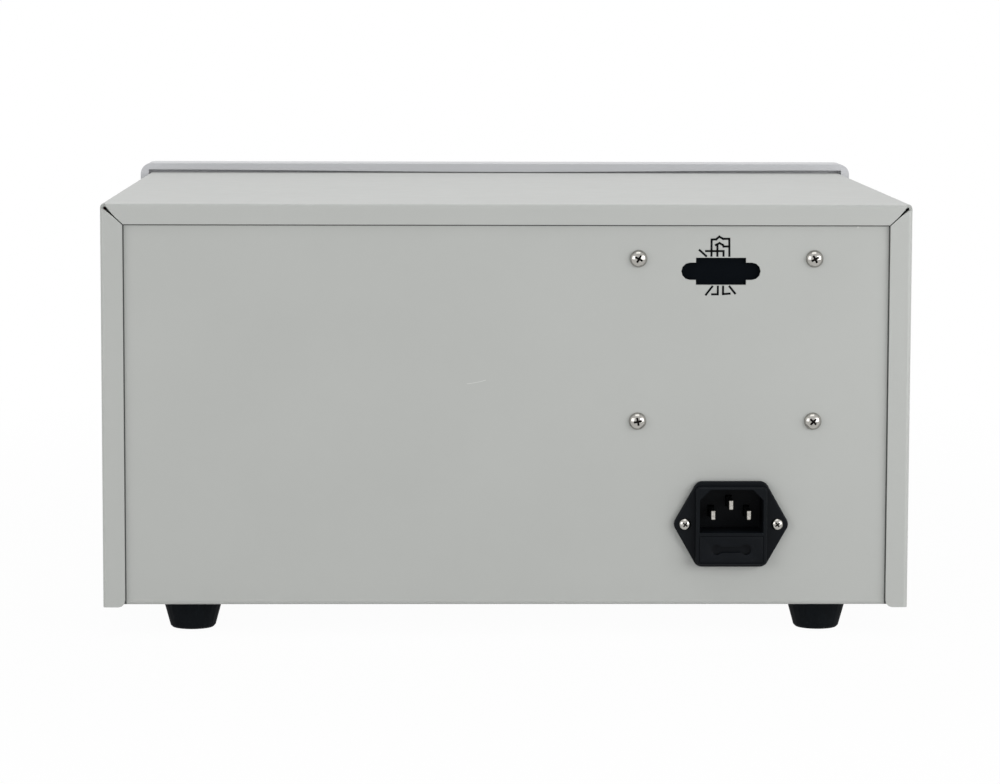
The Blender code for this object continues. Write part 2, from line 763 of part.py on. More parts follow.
def floor_vents():
    """Cutter for two rows of slots in the tray's floor."""
    outlines = []
    for x in (TRANSFORMER_X, -TRANSFORMER_X):
        for offset in range(VENT_COUNT):
            slot_x = x + (offset - (VENT_COUNT - 1) / 2) * VENT_PITCH
            outlines.append(slot(VENT_LENGTH, VENT_WIDTH, (slot_x, 0)))
    centre = (0, 0, TRAY_Z + SHEET / 2)
    return flat("floor_vent_slots", outlines, SHEET + 2 * OVERRUN, centre, "up", True)


def side_screw_points():
    """Depths of the screws along the cover's sides."""
    return (COVER_FRONT_Y + SIDE_SCREW_INSET, REAR_Y - SIDE_SCREW_INSET)


def side_screw_outlines():
    """The screw holes in a side, seen from the side."""
    height = TRAY_Z + SIDE_SCREW_RISE
    radius = SIDE_SCREW_SHANK + FIT
    return [circle(radius, COARSE_STEPS, (-height, y)) for y in side_screw_points()]


def side_vent_outlines():
    """A row of upright slots in a side, seen from the side."""
    height = COVER_TOP_Z - SIDE_VENT_DROP
    outlines = []
    for index in range(VENT_COUNT):
        along = REAR_Y - SIDE_VENT_INSET - index * VENT_PITCH
        upright = slot(VENT_LENGTH, VENT_WIDTH, (along, -height))
        outlines.append([(down, y) for y, down in upright])
    return outlines


def side_cutter(name, outlines):
    """Cutter for these outlines through both sides of the case."""
    return flat(name, outlines, COVER_WIDTH + 2 * OVERRUN, (0, 0, 0), "right", True)


def rear_screw_points():
    """Places of the four rear screws as x and z."""
    upper = COVER_TOP_Z - REAR_SCREW_DROP
    lower = INLET_Z + REAR_SCREW_OVER_INLET
    points = {}
    for row, z in (("upper", upper), ("lower", lower)):
        for column, side in (("left", -1), ("right", 1)):
            points[f"{row}_{column}"] = (REAR_SCREW_X + side * REAR_SCREW_SPACING / 2, z)
    return points


def port_outline(centre):
    """A connector cut-out: a rectangle over a round-ended slot."""
    x, z = centre
    half = PORT_WIDTH / 2
    tall = PORT_HEIGHT / 2
    low = PORT_SLOT_HEIGHT / 2
    run = PORT_SLOT_LENGTH / 2 - low
    right_end = arc(low, -90, 90, HALF_ROUND_STEPS, (run, 0))
    left_end = arc(low, 90, 270, HALF_ROUND_STEPS, (-run, 0))
    top = [(half, low), (half, tall), (-half, tall), (-half, low)]
    bottom = [(-half, -low), (-half, -tall), (half, -tall), (half, -low)]
    outline = right_end + top + left_end + bottom
    return [(x + dx, z + dz) for dx, dz in outline]


def inlet_block(clearance=0.0, steps=3):
    """Outline of the inlet's raised block, round its own centre."""
    size = (INLET_BLOCK_WIDTH + 2 * clearance, INLET_BLOCK_HEIGHT + 2 * clearance)
    return rounded(rectangle(*size, (0, INLET_BLOCK_SHIFT)), INLET_CORNER, steps)


def rear_cutouts():
    """Cutter for the port, the inlet and the screws of the rear panel."""
    port = port_outline((PORT_X, COVER_TOP_Z - PORT_DROP))
    inlet = [(INLET_X + x, INLET_Z + z) for x, z in inlet_block(FIT)]
    outlines = [port, inlet]
    for x, z in rear_screw_points().values():
        outlines.append(circle(REAR_SCREW_SHANK + FIT, COARSE_STEPS, (x, z)))
    for side in (-1, 1):
        centre = (INLET_X + side * INLET_SCREW_SPACING / 2, INLET_Z)
        outlines.append(circle(INLET_SCREW_SHANK + FIT, COARSE_STEPS, centre))
    middle = PANEL_REAR_FACE_Y - SHEET / 2
    return flat("rear_cutouts", outlines, SHEET + 2 * OVERRUN, (0, middle, 0), "front", True)


def feet():
    """Four rubber feet, hollow underneath for their screws."""
    profile = [
        (0, FOOT_HEIGHT),
        (FOOT_TOP_RADIUS, FOOT_HEIGHT),
        (FOOT_TOP_RADIUS, FOOT_HEIGHT - FOOT_COLLAR),
        (FOOT_BASE_RADIUS, MOULDED_EDGE),
        (FOOT_BASE_RADIUS - MOULDED_EDGE, 0),
        (FOOT_HOLLOW_RADIUS, 0),
        (FOOT_HOLLOW_RADIUS, FOOT_HOLLOW_DEPTH),
        (0, FOOT_HOLLOW_DEPTH),
    ]
    rows = {"front": COVER_FRONT_Y + FOOT_INSET, "rear": REAR_Y - FOOT_INSET}
    for row, y in rows.items():
        for column, side in (("left", -1), ("right", 1)):
            foot = turned(f"foot_{row}_{column}", profile, (side * FOOT_X, y, 0))
            finish(foot, (0.012, 0.014, 0.018), 0.8)


# Front of the instrument


def front_bezel():
    """A moulded frame with a spigot that slides into the cover."""
    depth_centre = (BEZEL_FRONT_Y + BEZEL_REAR_Y) / 2
    outline = rounded(rectangle(BEZEL_WIDTH, BEZEL_HEIGHT), BEZEL_CORNER, 4)
    obj = flat("front_bezel", [outline], BEZEL_DEPTH, (0, depth_centre, MIDDLE_Z))
    round_edges(obj, BEZEL_EDGE)
    spigot_top = COVER_INSIDE_Z - FIT
    spigot_low = TRAY_Z
    start = BEZEL_REAR_Y - OVERRUN
    spigot_size = (2 * TRAY_HALF, SPIGOT_REAR_Y - start, spigot_top - spigot_low)
    spigot_centre = (0, (SPIGOT_REAR_Y + start) / 2, (spigot_top + spigot_low) / 2)
    spigot = block("bezel_spigot", spigot_size, spigot_centre, SPIGOT_EDGE, cutter=True)
    opening_size = (PANEL_OPENING_WIDTH, 2 * BEZEL_DEPTH, PANEL_OPENING_HEIGHT)
    opening = block("bezel_opening", opening_size, (0, BEZEL_FRONT_Y, MIDDLE_Z), cutter=True)
    pocket_front = PANEL_Y - FIT
    pocket_rear = SPIGOT_REAR_Y + OVERRUN
    pocket_size = (PANEL_WIDTH + 2 * FIT, pocket_rear - pocket_front, PANEL_HEIGHT + 2 * FIT)
    pocket_centre = (0, (pocket_front + pocket_rear) / 2, MIDDLE_Z)
    pocket = block("bezel_pocket", pocket_size, pocket_centre, cutter=True)
    join(obj, spigot)
    cut(obj, opening, pocket)
    return finish(obj, (0.62, 0.63, 0.64), 0.5)


def stud_points():
    """Places of the control board's studs, over the window and beside the keys, as x and z."""
    reach = STUD_RADIUS + BOARD_MARGIN / 2
    left = WINDOW_X - WINDOW_WIDTH / 2 - reach + BOARD_MARGIN / 2
    right = WINDOW_X + WINDOW_WIDTH / 2 - BOARD_MARGIN / 2
    top = WINDOW_Z + WINDOW_HEIGHT / 2 + reach
    return [(x, z) for x in (left, right) for z in (KEY_Z, top)]


def key_places():
    """Across position of each range key."""
    return {name: SWITCH_X + index * KEY_PITCH for index, name in enumerate(KEY_NAMES)}


def socket_places():
    """Height of each test socket, one over the other."""
    offsets = (SOCKET_SPACING / 2, -SOCKET_SPACING / 2)
    return {name: ROW_Z + offset for name, offset in zip(SOCKET_NAMES, offsets)}


def front_panel():
    """A thick sheet panel with every front cut-out, and studs for the control board."""
    key_hole = KEY_SIZE + 2 * FIT
    barrel = BUTTON_BARREL_RADIUS + FIT
    holes = [
        rectangle(WINDOW_WIDTH, WINDOW_HEIGHT, (WINDOW_X, WINDOW_Z)),
        rectangle(SWITCH_BODY_WIDTH + 2 * FIT, SWITCH_BODY_HEIGHT + 2 * FIT, (SWITCH_X, ROW_Z)),
        circle(barrel, FINE_STEPS, (START_X, ROW_Z)),
        circle(barrel, FINE_STEPS, (RESET_X, ROW_Z)),
        circle(BUSHING_RADIUS + FIT, ROUND_STEPS, (LIMIT_X, ROW_Z)),
        circle(SHAFT_RADIUS + RUNNING, ROUND_STEPS, (VOLTAGE_X, VOLTAGE_Z)),
    ]
    for x in key_places().values():
        holes.append(rectangle(key_hole, key_hole, (x, KEY_Z)))
    for x in LAMP_PLACES:
        holes.append(circle(LAMP_RADIUS + FIT, ROUND_STEPS, (x, LAMP_Z)))
    for z in socket_places().values():
        holes.append(circle(SOCKET_BARREL_RADIUS + FIT, FINE_STEPS, (SOCKET_X, z)))
    middle = (PANEL_Y + PANEL_BACK_Y) / 2
    outline = rectangle(PANEL_WIDTH, PANEL_HEIGHT)
    obj = flat("front_panel", [outline], PANEL_THICKNESS, (0, middle, MIDDLE_Z))
    cutter = flat("panel_cutouts", holes, PANEL_THICKNESS + 2 * OVERRUN, (0, middle, 0), cutter=True)
    cut(obj, cutter)
    for index, (x, z) in enumerate(stud_points()):
        name = f"panel_stud_{index + 1}"
        join(obj, rod(name, STUD_RADIUS, middle, BOARD_FRONT_Y - FIT, x, z, COARSE_STEPS))
    return finish(obj, (0.78, 0.79, 0.79), 0.5)


def display_window():
    """A tinted sheet in the panel's opening."""
    size = (WINDOW_WIDTH - 2 * FIT, WINDOW_THICKNESS, WINDOW_HEIGHT - 2 * FIT)
    centre = (WINDOW_X, PANEL_Y + FIT + WINDOW_THICKNESS / 2, WINDOW_Z)
    return finish(block("display_window", size, centre, FINE_EDGE), (0.05, 0.008, 0.01), 0.1, 0.0, 0.6)


def displays():
    """Three digit displays that stand on the control board behind the window."""
    front = PANEL_BACK_Y + FIT
    rear = BOARD_FRONT_Y - FIT
    for index, name in enumerate(DISPLAY_NAMES):
        x = WINDOW_X + (index - 1) * DISPLAY_PITCH
        size = (DISPLAY_WIDTH, rear - front, DISPLAY_HEIGHT)
        centre = (x, (front + rear) / 2, WINDOW_Z)
        finish(block(name, size, centre, MOULDED_EDGE), (0.03, 0.03, 0.03), 0.4)


def control_board():
    """The board on the panel's studs, with key switches before it and parts behind it."""
    studs = stud_points()
    left = min(x for x, z in studs) - STUD_RADIUS
    right = max(x for x, z in studs) + STUD_RADIUS
    low = KEY_Z - KEY_SIZE / 2 - KEY_RIM
    top = max(z for x, z in studs) + STUD_RADIUS
    middle_x = (left + right) / 2
    size = (right - left, BOARD_THICKNESS, top - low)
    centre = (middle_x, (BOARD_FRONT_Y + BOARD_BACK_Y) / 2, (low + top) / 2)
    obj = block("control_board", size, centre)
    for name, x in key_places().items():
        depth = KEY_SWITCH_DEPTH + BOARD_THICKNESS / 2
        switch_size = (KEY_SIZE, depth, KEY_SIZE)
        switch_centre = (x, BOARD_FRONT_Y - KEY_SWITCH_DEPTH + depth / 2, KEY_Z)
        join(obj, block(name + "_switch", switch_size, switch_centre, cutter=True))
    for index in range(3):
        width, height, depth = RELAY_SIZE
        x = left + (index + 1) * (right - left) / 4
        relay_z = top - BOARD_MARGIN - height / 2
        relay_centre = (x, BOARD_BACK_Y + depth / 2 - BOARD_THICKNESS / 2, relay_z)
        relay_size = (width, depth + BOARD_THICKNESS, height)
        join(obj, block(f"relay_{index + 1}", relay_size, relay_centre, cutter=True))
        start = BOARD_BACK_Y - BOARD_THICKNESS / 2
        end = BOARD_BACK_Y + CAPACITOR_LENGTH
        z = low + CAPACITOR_RADIUS + BOARD_MARGIN
        join(obj, rod(f"capacitor_{index + 1}", CAPACITOR_RADIUS, start, end, x, z))
    return finish(obj, BOARD_GREEN, 0.5)


def range_keys():
    """Square keys held in by a rim behind the panel; each slides back on its own."""
    front = PANEL_Y - KEY_PROUD
    rim_front = PANEL_BACK_Y + FIT
    rear = BOARD_FRONT_Y - KEY_SWITCH_DEPTH - KEY_TRAVEL - FIT
    for name, x in key_places().items():
        centre = (x, (front + rear) / 2, KEY_Z)
        key = block(name, (KEY_SIZE, rear - front, KEY_SIZE), centre, MOULDED_EDGE)
        rim_size = (KEY_SIZE + 2 * KEY_RIM, KEY_RIM, KEY_SIZE + 2 * KEY_RIM)
        rim = block(name + "_rim", rim_size, (x, rim_front + KEY_RIM / 2, KEY_Z), cutter=True)
        finish(join(key, rim), (0.75, 0.76, 0.77), 0.45)


def rocker_outline():
    """Side view of the rocker round its axle: a valley in front, round ends, a flat back."""
    end = math.sqrt(ROCKER_RADIUS**2 - ROCKER_PROUD**2)
    back = math.sqrt(ROCKER_RADIUS**2 - ROCKER_BACK**2)
    tip = math.degrees(math.atan2(end, -ROCKER_PROUD))
    root = math.degrees(math.atan2(back, ROCKER_BACK))
    upper = arc(ROCKER_RADIUS, tip, root, 5)
    lower = arc(ROCKER_RADIUS, -root, -tip, 5)
    return [(-ROCKER_VALLEY, 0)] + upper + lower


def power_switch():
    """Rocker switch: a flanged body behind the panel, and the rocker on its axle."""
    x = SWITCH_X
    z = ROW_Z
    flange_front = PANEL_Y - FIT - SWITCH_FLANGE
    flange = rounded(rectangle(SWITCH_WIDTH, SWITCH_HEIGHT), SWITCH_BORDER, 3)
    flange_centre = (x, flange_front + SWITCH_FLANGE / 2, z)
    housing = flat("power_switch_housing", [flange], SWITCH_FLANGE, flange_centre)
    round_edges(housing, FINE_EDGE, 1)
    start = PANEL_Y - FIT - SWITCH_FLANGE / 2
    end = PANEL_Y + SWITCH_DEPTH
    body_size = (SWITCH_BODY_WIDTH, end - start, SWITCH_BODY_HEIGHT)
    join(housing, block("switch_body", body_size, (x, (start + end) / 2, z), cutter=True))
    axle_y = flange_front + ROCKER_BACK / 2
    swing = ROCKER_RADIUS + RUNNING
    pocket_size = (SWITCH_POCKET_WIDTH, 2 * swing, SWITCH_POCKET_HEIGHT)
    pocket = block("switch_pocket", pocket_size, (x, axle_y, z), cutter=True)
    axle_half = ROCKER_WIDTH / 2 + ROCKER_AXLE_REACH
    seat = axle_half + FIT
    seat_radius = ROCKER_AXLE_RADIUS + FIT
    seat_profile = [(0, seat), (seat_radius, seat), (seat_radius, -seat), (0, -seat)]
    axle_seat = turned("axle_seat", seat_profile, (x, axle_y, z), "right", COARSE_STEPS, True)
    cut(housing, pocket, axle_seat)
    finish(housing, DARK_PLASTIC, 0.45)
    tilt = math.radians(ROCKER_TILT)
    outline = []
    for y, rise in rocker_outline():
        turned_y = y * math.cos(tilt) - rise * math.sin(tilt)
        turned_z = y * math.sin(tilt) + rise * math.cos(tilt)
        outline.append((-turned_z, turned_y))
    rocker = flat("power_rocker", [outline], ROCKER_WIDTH, (x, axle_y, z), "right")
    axle_radius = ROCKER_AXLE_RADIUS
    axle_profile = [(0, axle_half), (axle_radius, axle_half), (axle_radius, -axle_half), (0, -axle_half)]
    join(rocker, turned("rocker_axle", axle_profile, (x, axle_y, z), "right", COARSE_STEPS, True))
    finish(rocker, (0.03, 0.03, 0.032), 0.35)


def push_button(name, x, colour):
    """A round button that slides in a flanged barrel."""
    seat = (x, PANEL_Y - FIT, ROW_Z)
    bore = BUTTON_RADIUS + FIT
    bore_end = BUTTON_FLANGE + BUTTON_PROUD - BUTTON_LENGTH - BUTTON_TRAVEL - FIT
    barrel_end = bore_end - BUTTON_FLOOR
    edge = MOULDED_EDGE
    ring = [
        (BUTTON_FLANGE_RADIUS - edge, BUTTON_FLANGE),
        (BUTTON_FLANGE_RADIUS, BUTTON_FLANGE - edge),
        (BUTTON_FLANGE_RADIUS, 0),
        (BUTTON_BARREL_RADIUS, 0),
        (BUTTON_BARREL_RADIUS, barrel_end),
        (0, barrel_end),
    ]
    profile = [(0, bore_end), (bore, bore_end), (bore, BUTTON_FLANGE)] + ring
    finish(turned(name + "_bezel", profile, seat, "front"), NICKEL, 0.3, 1.0)
    top = BUTTON_FLANGE + BUTTON_PROUD
    end = top - BUTTON_LENGTH
    middle = (BUTTON_RADIUS - BUTTON_EDGE, top - BUTTON_EDGE)
    cap = [(0, top)]
    cap += reversed(arc(BUTTON_EDGE, 0, 90, 3, middle))
    cap += [(BUTTON_RADIUS, end), (0, end)]
    finish(turned(name, cap, seat, "front"), colour, 0.35)


def knob(name, radius, length, x, z, rest, shaft_depth, collar_radius, collar_depth):
    """A knob with a skirt and a fluted grip, whose pointer rests at an angle from the top."""
    seat = (x, PANEL_Y - KNOB_CLEARANCE, z)
    edge = FINE_EDGE
    skirt = [
        (0, KNOB_SKIRT),
        (radius - edge, KNOB_SKIRT),
        (radius, KNOB_SKIRT - edge),
        (radius, 0),
        (0, 0),
    ]
    obj = turned(name, skirt, seat, "front")
    grip_outline = fluted(radius * KNOB_SHRINK, KNOB_FLUTE, KNOB_FLUTES)
    overlap = KNOB_SKIRT / 2
    grip_length = length - overlap
    grip_y = seat[1] - overlap - grip_length / 2
    grip = flat(name + "_grip", [grip_outline], grip_length, (x, grip_y, z), cutter=True)
    round_edges(grip, edge, 1, 75)
    join(obj, grip)
    bore_profile = [
        (0, shaft_depth + FIT),
        (SHAFT_RADIUS + FIT, shaft_depth + FIT),
        (SHAFT_RADIUS + FIT, collar_depth),
        (collar_radius, collar_depth),
        (collar_radius, -OVERRUN),
        (0, -OVERRUN),
    ]
    bore = turned(name + "_bore", bore_profile, seat, "front", ROUND_STEPS, True)
    bore.rotation_euler.rotate_axis("Z", math.pi / FINE_STEPS / 2)
    groove_length = radius * KNOB_SHRINK * POINTER_SHARE
    lean = Matrix.Rotation(math.radians(rest), 3, "Y")
    offset = lean @ Vector((0, 0, radius * KNOB_SHRINK - groove_length / 2))
    groove_centre = (x + offset.x, seat[1] - length, z + offset.z)
    groove_size = (POINTER_WIDTH, 2 * POINTER_DEPTH, groove_length + OVERRUN)
    groove = block(name + "_pointer", groove_size, groove_centre, cutter=True)
    groove.rotation_euler = lean.to_euler()
    cut(obj, bore, groove)
    return finish(obj, (0.025, 0.026, 0.028), 0.4)


def shaft_profile(front, rear):
    """A round shaft between two heights of its own axis."""
    return [(0, front), (SHAFT_RADIUS, front), (SHAFT_RADIUS, rear), (0, rear)]


def limit_control():
    """Small knob on the shaft of a potentiometer that is fixed in the panel."""
    x = LIMIT_X
    z = ROW_Z
    reach = SHAFT_ENGAGEMENT * LIMIT_KNOB_LENGTH
    clear = BUSHING_PROUD - KNOB_CLEARANCE + RUNNING
    size = (LIMIT_KNOB_RADIUS, LIMIT_KNOB_LENGTH)
    knob("limit_knob", *size, x, z, LIMIT_KNOB_REST, reach, BUSHING_RADIUS + RUNNING, clear)
    back = PANEL_THICKNESS + FIT
    bore = SHAFT_RADIUS + RUNNING
    bore_end = -back - POT_DEPTH / 2
    pot = [
        (0, bore_end),
        (bore, bore_end),
        (bore, BUSHING_PROUD),
        (BUSHING_RADIUS, BUSHING_PROUD),
        (BUSHING_RADIUS, -back),
        (POT_RADIUS, -back),
        (POT_RADIUS, -back - POT_DEPTH),
        (0, -back - POT_DEPTH),
    ]
    finish(turned("limit_potentiometer", pot, (x, PANEL_Y, z), "front"), STEEL, 0.4, 0.8)
    profile = shaft_profile(KNOB_CLEARANCE + reach, bore_end + FIT)
    finish(turned("limit_shaft", profile, (x, PANEL_Y, z), "front", ROUND_STEPS), STEEL, 0.35, 1.0)


def voltage_control():
    """Large knob on the shaft that carries the variable transformer's brush arm."""
    x = VOLTAGE_X
    z = VOLTAGE_Z
    reach = SHAFT_ENGAGEMENT * VOLTAGE_KNOB_LENGTH
    collar = SHAFT_RADIUS + FIT
    knob("voltage_knob", VOLTAGE_KNOB_RADIUS, VOLTAGE_KNOB_LENGTH, x, z, KNOB_REST, reach, collar, 0)
    shaft_end = PANEL_Y - (VARIAC_REAR_Y + FIT + 2 * BRACKET_SHEET)
    profile = shaft_profile(KNOB_CLEARANCE + reach, shaft_end)
    shaft = turned("brush_shaft", profile, (x, PANEL_Y, z), "front", ROUND_STEPS)
    arm_rear = VARIAC_FRONT_Y - FIT - BRUSH_ARM_THICKNESS / 2
    arm_front = arm_rear - BRUSH_ARM_THICKNESS
    hub = rod("brush_hub", BRUSH_HUB_RADIUS, arm_front, arm_rear, x, z, FINE_STEPS)
    arm_size = (BRUSH_ARM_WIDTH, BRUSH_ARM_THICKNESS, BRUSH_REACH)
    arm_centre = (x, (arm_front + arm_rear) / 2, z - BRUSH_REACH / 2)
    arm = block("brush_arm", arm_size, arm_centre, cutter=True)
    brush_size = (BRUSH_WIDTH, BRUSH_ARM_THICKNESS, BRUSH_WIDTH)
    brush_centre = (x, arm_rear, z - BRUSH_REACH + BRUSH_ARM_WIDTH / 2)
    brush = block("brush_block", brush_size, brush_centre, cutter=True)
    finish(join(shaft, hub, arm, brush), STEEL, 0.4, 0.9)


def variac():
    """The wound ring of the variable transformer and the bracket that stands behind it."""
    x = VOLTAGE_X
    z = VOLTAGE_Z
    inner = VARIAC_BORE
    outer = VARIAC_RADIUS
    half = VARIAC_THICKNESS / 2
    edge = VARIAC_EDGE
    corners = [(inner, -half), (outer, -half), (outer, half), (inner, half)]
    profile = rounded(corners, edge, 2)
    profile.reverse()
    centre = (x, VARIAC_FRONT_Y + half, z)
    finish(turned("variac_core", profile, centre, "front"), COPPER, 0.4, 0.6)
    plate_y = VARIAC_REAR_Y + FIT
    bm = flat_sheet(BRACKET_WIDTH / 2, plate_y, plate_y + BRACKET_FOOT, TRAY_FLOOR_Z + FIT)
    bracket_top = z + VARIAC_BORE + 2 * VARIAC_EDGE
    fold(bm, lambda co: near(co.y, plate_y), (0, 0, bracket_top - TRAY_FLOOR_Z - FIT))
    bmesh.ops.recalc_face_normals(bm, faces=bm.faces)
    bracket = place("variac_bracket", mesh_from("variac_bracket", bm), (x, 0, 0))
    round_edges(bracket, BRACKET_BEND, BEND_STEPS)
    solidify = bracket.modifiers.new("plate", "SOLIDIFY")
    solidify.thickness = BRACKET_SHEET
    solidify.offset = bracket_side(bracket)
    solidify.use_even_offset = True
    hole = rod("bracket_hole", SHAFT_RADIUS + FIT, plate_y - OVERRUN, plate_y + 4 * BRACKET_SHEET, x, z)
    cut(bracket, hole)
    finish(bracket, STEEL, 0.45, 0.8)


def bracket_side(obj):
    """Solidify's direction that puts the metal above the bracket's lower face."""
    floor = min(obj.data.polygons, key=lambda face: face.center.z)
    return 1 if floor.normal.z > 0 else -1


def transformer():
    """Laminated core, its coil, and the strap that holds both down on the tray."""
    x = TRANSFORMER_X
    y = PANEL_REAR_INSIDE_Y - TRANSFORMER_INSET
    z = TRAY_FLOOR_Z + FIT + CORE_HEIGHT / 2
    window_width = CORE_WIDTH / 2 - 2 * CORE_LIMB
    window_height = CORE_HEIGHT - 2 * CORE_LIMB
    window_x = CORE_LIMB + window_width / 2
    outlines = [rectangle(CORE_WIDTH, CORE_HEIGHT)]
    for side in (-1, 1):
        outlines.append(rectangle(window_width, window_height, (side * window_x, 0)))
    core = flat("transformer_core", outlines, CORE_DEPTH, (x, y, z))
    finish(core, (0.16, 0.16, 0.17), 0.5, 0.7)
    coil_width = 2 * (CORE_LIMB + window_width - FIT)
    coil_height = window_height - 2 * FIT
    coil_depth = CORE_DEPTH + 2 * COIL_OVERHANG
    coil = block("transformer_coil", (coil_width, coil_depth, coil_height), (x, y, z), COIL_EDGE)
    limb_size = (2 * (CORE_LIMB + FIT), CORE_DEPTH + 2 * FIT, coil_height + OVERRUN)
    cut(coil, block("coil_hollow", limb_size, (x, y, z), cutter=True))
    finish(coil, (0.55, 0.33, 0.08), 0.5)
    strap(x, y)


def strap(x, y):
    """A sheet strap over the core with a foot on each side."""
    half = CORE_WIDTH / 2 + FIT
    top = TRAY_FLOOR_Z + FIT + CORE_HEIGHT + FIT
    low = TRAY_FLOOR_Z + FIT
    gauge = STRAP_SHEET
    outline = [
        (-half - STRAP_FOOT, low),
        (-half, low),
        (-half, top),
        (half, top),
        (half, low),
        (half + STRAP_FOOT, low),
        (half + STRAP_FOOT, low + gauge),
        (half + gauge, low + gauge),
        (half + gauge, top + gauge),
        (-half - gauge, top + gauge),
        (-half - gauge, low + gauge),
        (-half - STRAP_FOOT, low + gauge),
    ]
    obj = flat("transformer_strap", [outline], STRAP_WIDTH, (x, y, 0))
    finish(obj, STEEL, 0.4, 0.9)


def lamps():
    """Pilot lamps that push through the panel."""
    colours = ((0.7, 0.45, 0.02), (0.03, 0.45, 0.08), (0.6, 0.02, 0.02))
    dome = [(across * LAMP_RADIUS, up * LAMP_DOME) for across, up in LENS_DOME]
    profile = dome + [
        (LAMP_RADIUS, LAMP_FLANGE),
        (LAMP_FLANGE_RADIUS - FIT, LAMP_FLANGE),
        (LAMP_FLANGE_RADIUS, LAMP_FLANGE - FIT),
        (LAMP_FLANGE_RADIUS, 0),
        (LAMP_RADIUS, 0),
        (LAMP_RADIUS, -LAMP_DEPTH),
        (0, -LAMP_DEPTH),
    ]
    for name, x, colour in zip(LAMP_NAMES, LAMP_PLACES, colours):
        seat = (x, PANEL_Y - FIT, LAMP_Z)
        finish(turned(name, profile, seat, "front", ROUND_STEPS), colour, 0.2)


def test_sockets():
    """Deep insulated sockets for the test leads."""
    colours = ((0.55, 0.015, 0.015), (0.015, 0.015, 0.018))
    edge = MOULDED_EDGE
    for (name, z), colour in zip(socket_places().items(), colours):
        profile = [
            (0, SOCKET_FLOOR - SOCKET_DEPTH),
            (SOCKET_BORE, SOCKET_FLOOR - SOCKET_DEPTH),
            (SOCKET_BORE, SOCKET_FLANGE - edge),
            (SOCKET_BORE + edge, SOCKET_FLANGE),
            (SOCKET_FLANGE_RADIUS - edge, SOCKET_FLANGE),
            (SOCKET_FLANGE_RADIUS, SOCKET_FLANGE - edge),
            (SOCKET_FLANGE_RADIUS, 0),
            (SOCKET_BARREL_RADIUS, 0),
            (SOCKET_BARREL_RADIUS, -SOCKET_DEPTH),
            (0, -SOCKET_DEPTH),
        ]
        seat = (SOCKET_X, PANEL_Y - FIT, z)
        finish(turned(name, profile, seat, "front"), colour, 0.35)


# Rear of the instrument


def rear_screws():
    """Four screws through the rear panel into the standoffs of the interface board."""
    insulator_front = PANEL_REAR_INSIDE_Y - FIT
    standoff_start = insulator_front - INSULATOR_THICKNESS - FIT
    bore = REAR_SCREW_SHANK + FIT
    tube = [
        (STANDOFF_RADIUS, 0),
        (STANDOFF_RADIUS, -STANDOFF_LENGTH),
        (bore, -STANDOFF_LENGTH),
        (bore, 0),
    ]
    head = (REAR_SCREW_HEAD, REAR_SCREW_HEAD_HEIGHT)
    shank = (REAR_SCREW_SHANK, REAR_SCREW_LENGTH)
    for corner, (x, z) in rear_screw_points().items():
        seat = (x, PANEL_REAR_FACE_Y + FIT, z)
        pan_screw(f"rear_screw_{corner}", *head, *shank, seat, "rear")
        standoff = turned(f"standoff_{corner}", tube, (x, standoff_start, z), "rear", COARSE_STEPS)
        finish(standoff, NICKEL, 0.3, 1.0)


def interface_board():
    """Black insulating sheet behind the port, and the interface board on its standoffs."""
    points = list(rear_screw_points().values())
    low = min(z for x, z in points) - INTERFACE_MARGIN
    top = max(z for x, z in points) + INTERFACE_MARGIN
    width = REAR_SCREW_SPACING + 2 * INTERFACE_MARGIN
    middle = (low + top) / 2
    sheet_rear = PANEL_REAR_INSIDE_Y - FIT
    outlines = [rectangle(width, top - low)]
    bore = REAR_SCREW_SHANK + FIT
    for x, z in points:
        outlines.append(circle(bore, COARSE_STEPS, (x - REAR_SCREW_X, z - middle)))
    sheet_centre = (REAR_SCREW_X, sheet_rear - INSULATOR_THICKNESS / 2, middle)
    insulator = flat("insulating_sheet", outlines, INSULATOR_THICKNESS, sheet_centre)
    finish(insulator, (0.012, 0.012, 0.013), 0.7)
    board_rear = sheet_rear - INSULATOR_THICKNESS - FIT - STANDOFF_LENGTH - FIT
    board_centre = (REAR_SCREW_X, board_rear - BOARD_THICKNESS / 2, middle)
    board = block("interface_board", (width, BOARD_THICKNESS, top - low), board_centre)
    relay_width, relay_height, relay_depth = RELAY_SIZE
    for index in (-1, 1):
        size = (relay_width, relay_depth + BOARD_THICKNESS, relay_height)
        relay_x = REAR_SCREW_X + index * (relay_width / 2 + INTERFACE_MARGIN)
        centre = (relay_x, board_rear - (BOARD_THICKNESS + relay_depth) / 2, middle)
        join(board, block(f"interface_relay_{index + 2}", size, centre, cutter=True))
    finish(board, BOARD_GREEN, 0.5)


def inlet_flange():
    """Outline of the inlet's flange: six sides with rounded corners."""
    half_top = INLET_FLANGE_TOP / 2
    half_height = INLET_FLANGE_HEIGHT / 2
    corners = [
        (-half_top, -half_height),
        (half_top, -half_height),
        (INLET_TIP, 0),
        (half_top, half_height),
        (-half_top, half_height),
        (-INLET_TIP, 0),
    ]
    return rounded(corners, INLET_FLANGE_CORNER, 4)


def recess_outline():
    """Outline of the inlet's recess, with its two upper corners cut off."""
    half = RECESS_WIDTH / 2
    low = RECESS_RISE - RECESS_HEIGHT / 2
    top = RECESS_RISE + RECESS_HEIGHT / 2
    return [
        (-half, low),
        (half, low),
        (half, top - RECESS_CHAMFER),
        (half - RECESS_CHAMFER, top),
        (-half + RECESS_CHAMFER, top),
        (-half, top - RECESS_CHAMFER),
    ]


def pin_places():
    """Across and up positions of the three pins, round the inlet's centre."""
    return {
        "inlet_pin_live": (PIN_PITCH, RECESS_RISE - PIN_OFFSET),
        "inlet_pin_neutral": (-PIN_PITCH, RECESS_RISE - PIN_OFFSET),
        "inlet_pin_earth": (0.0, RECESS_RISE + PIN_OFFSET),
    }


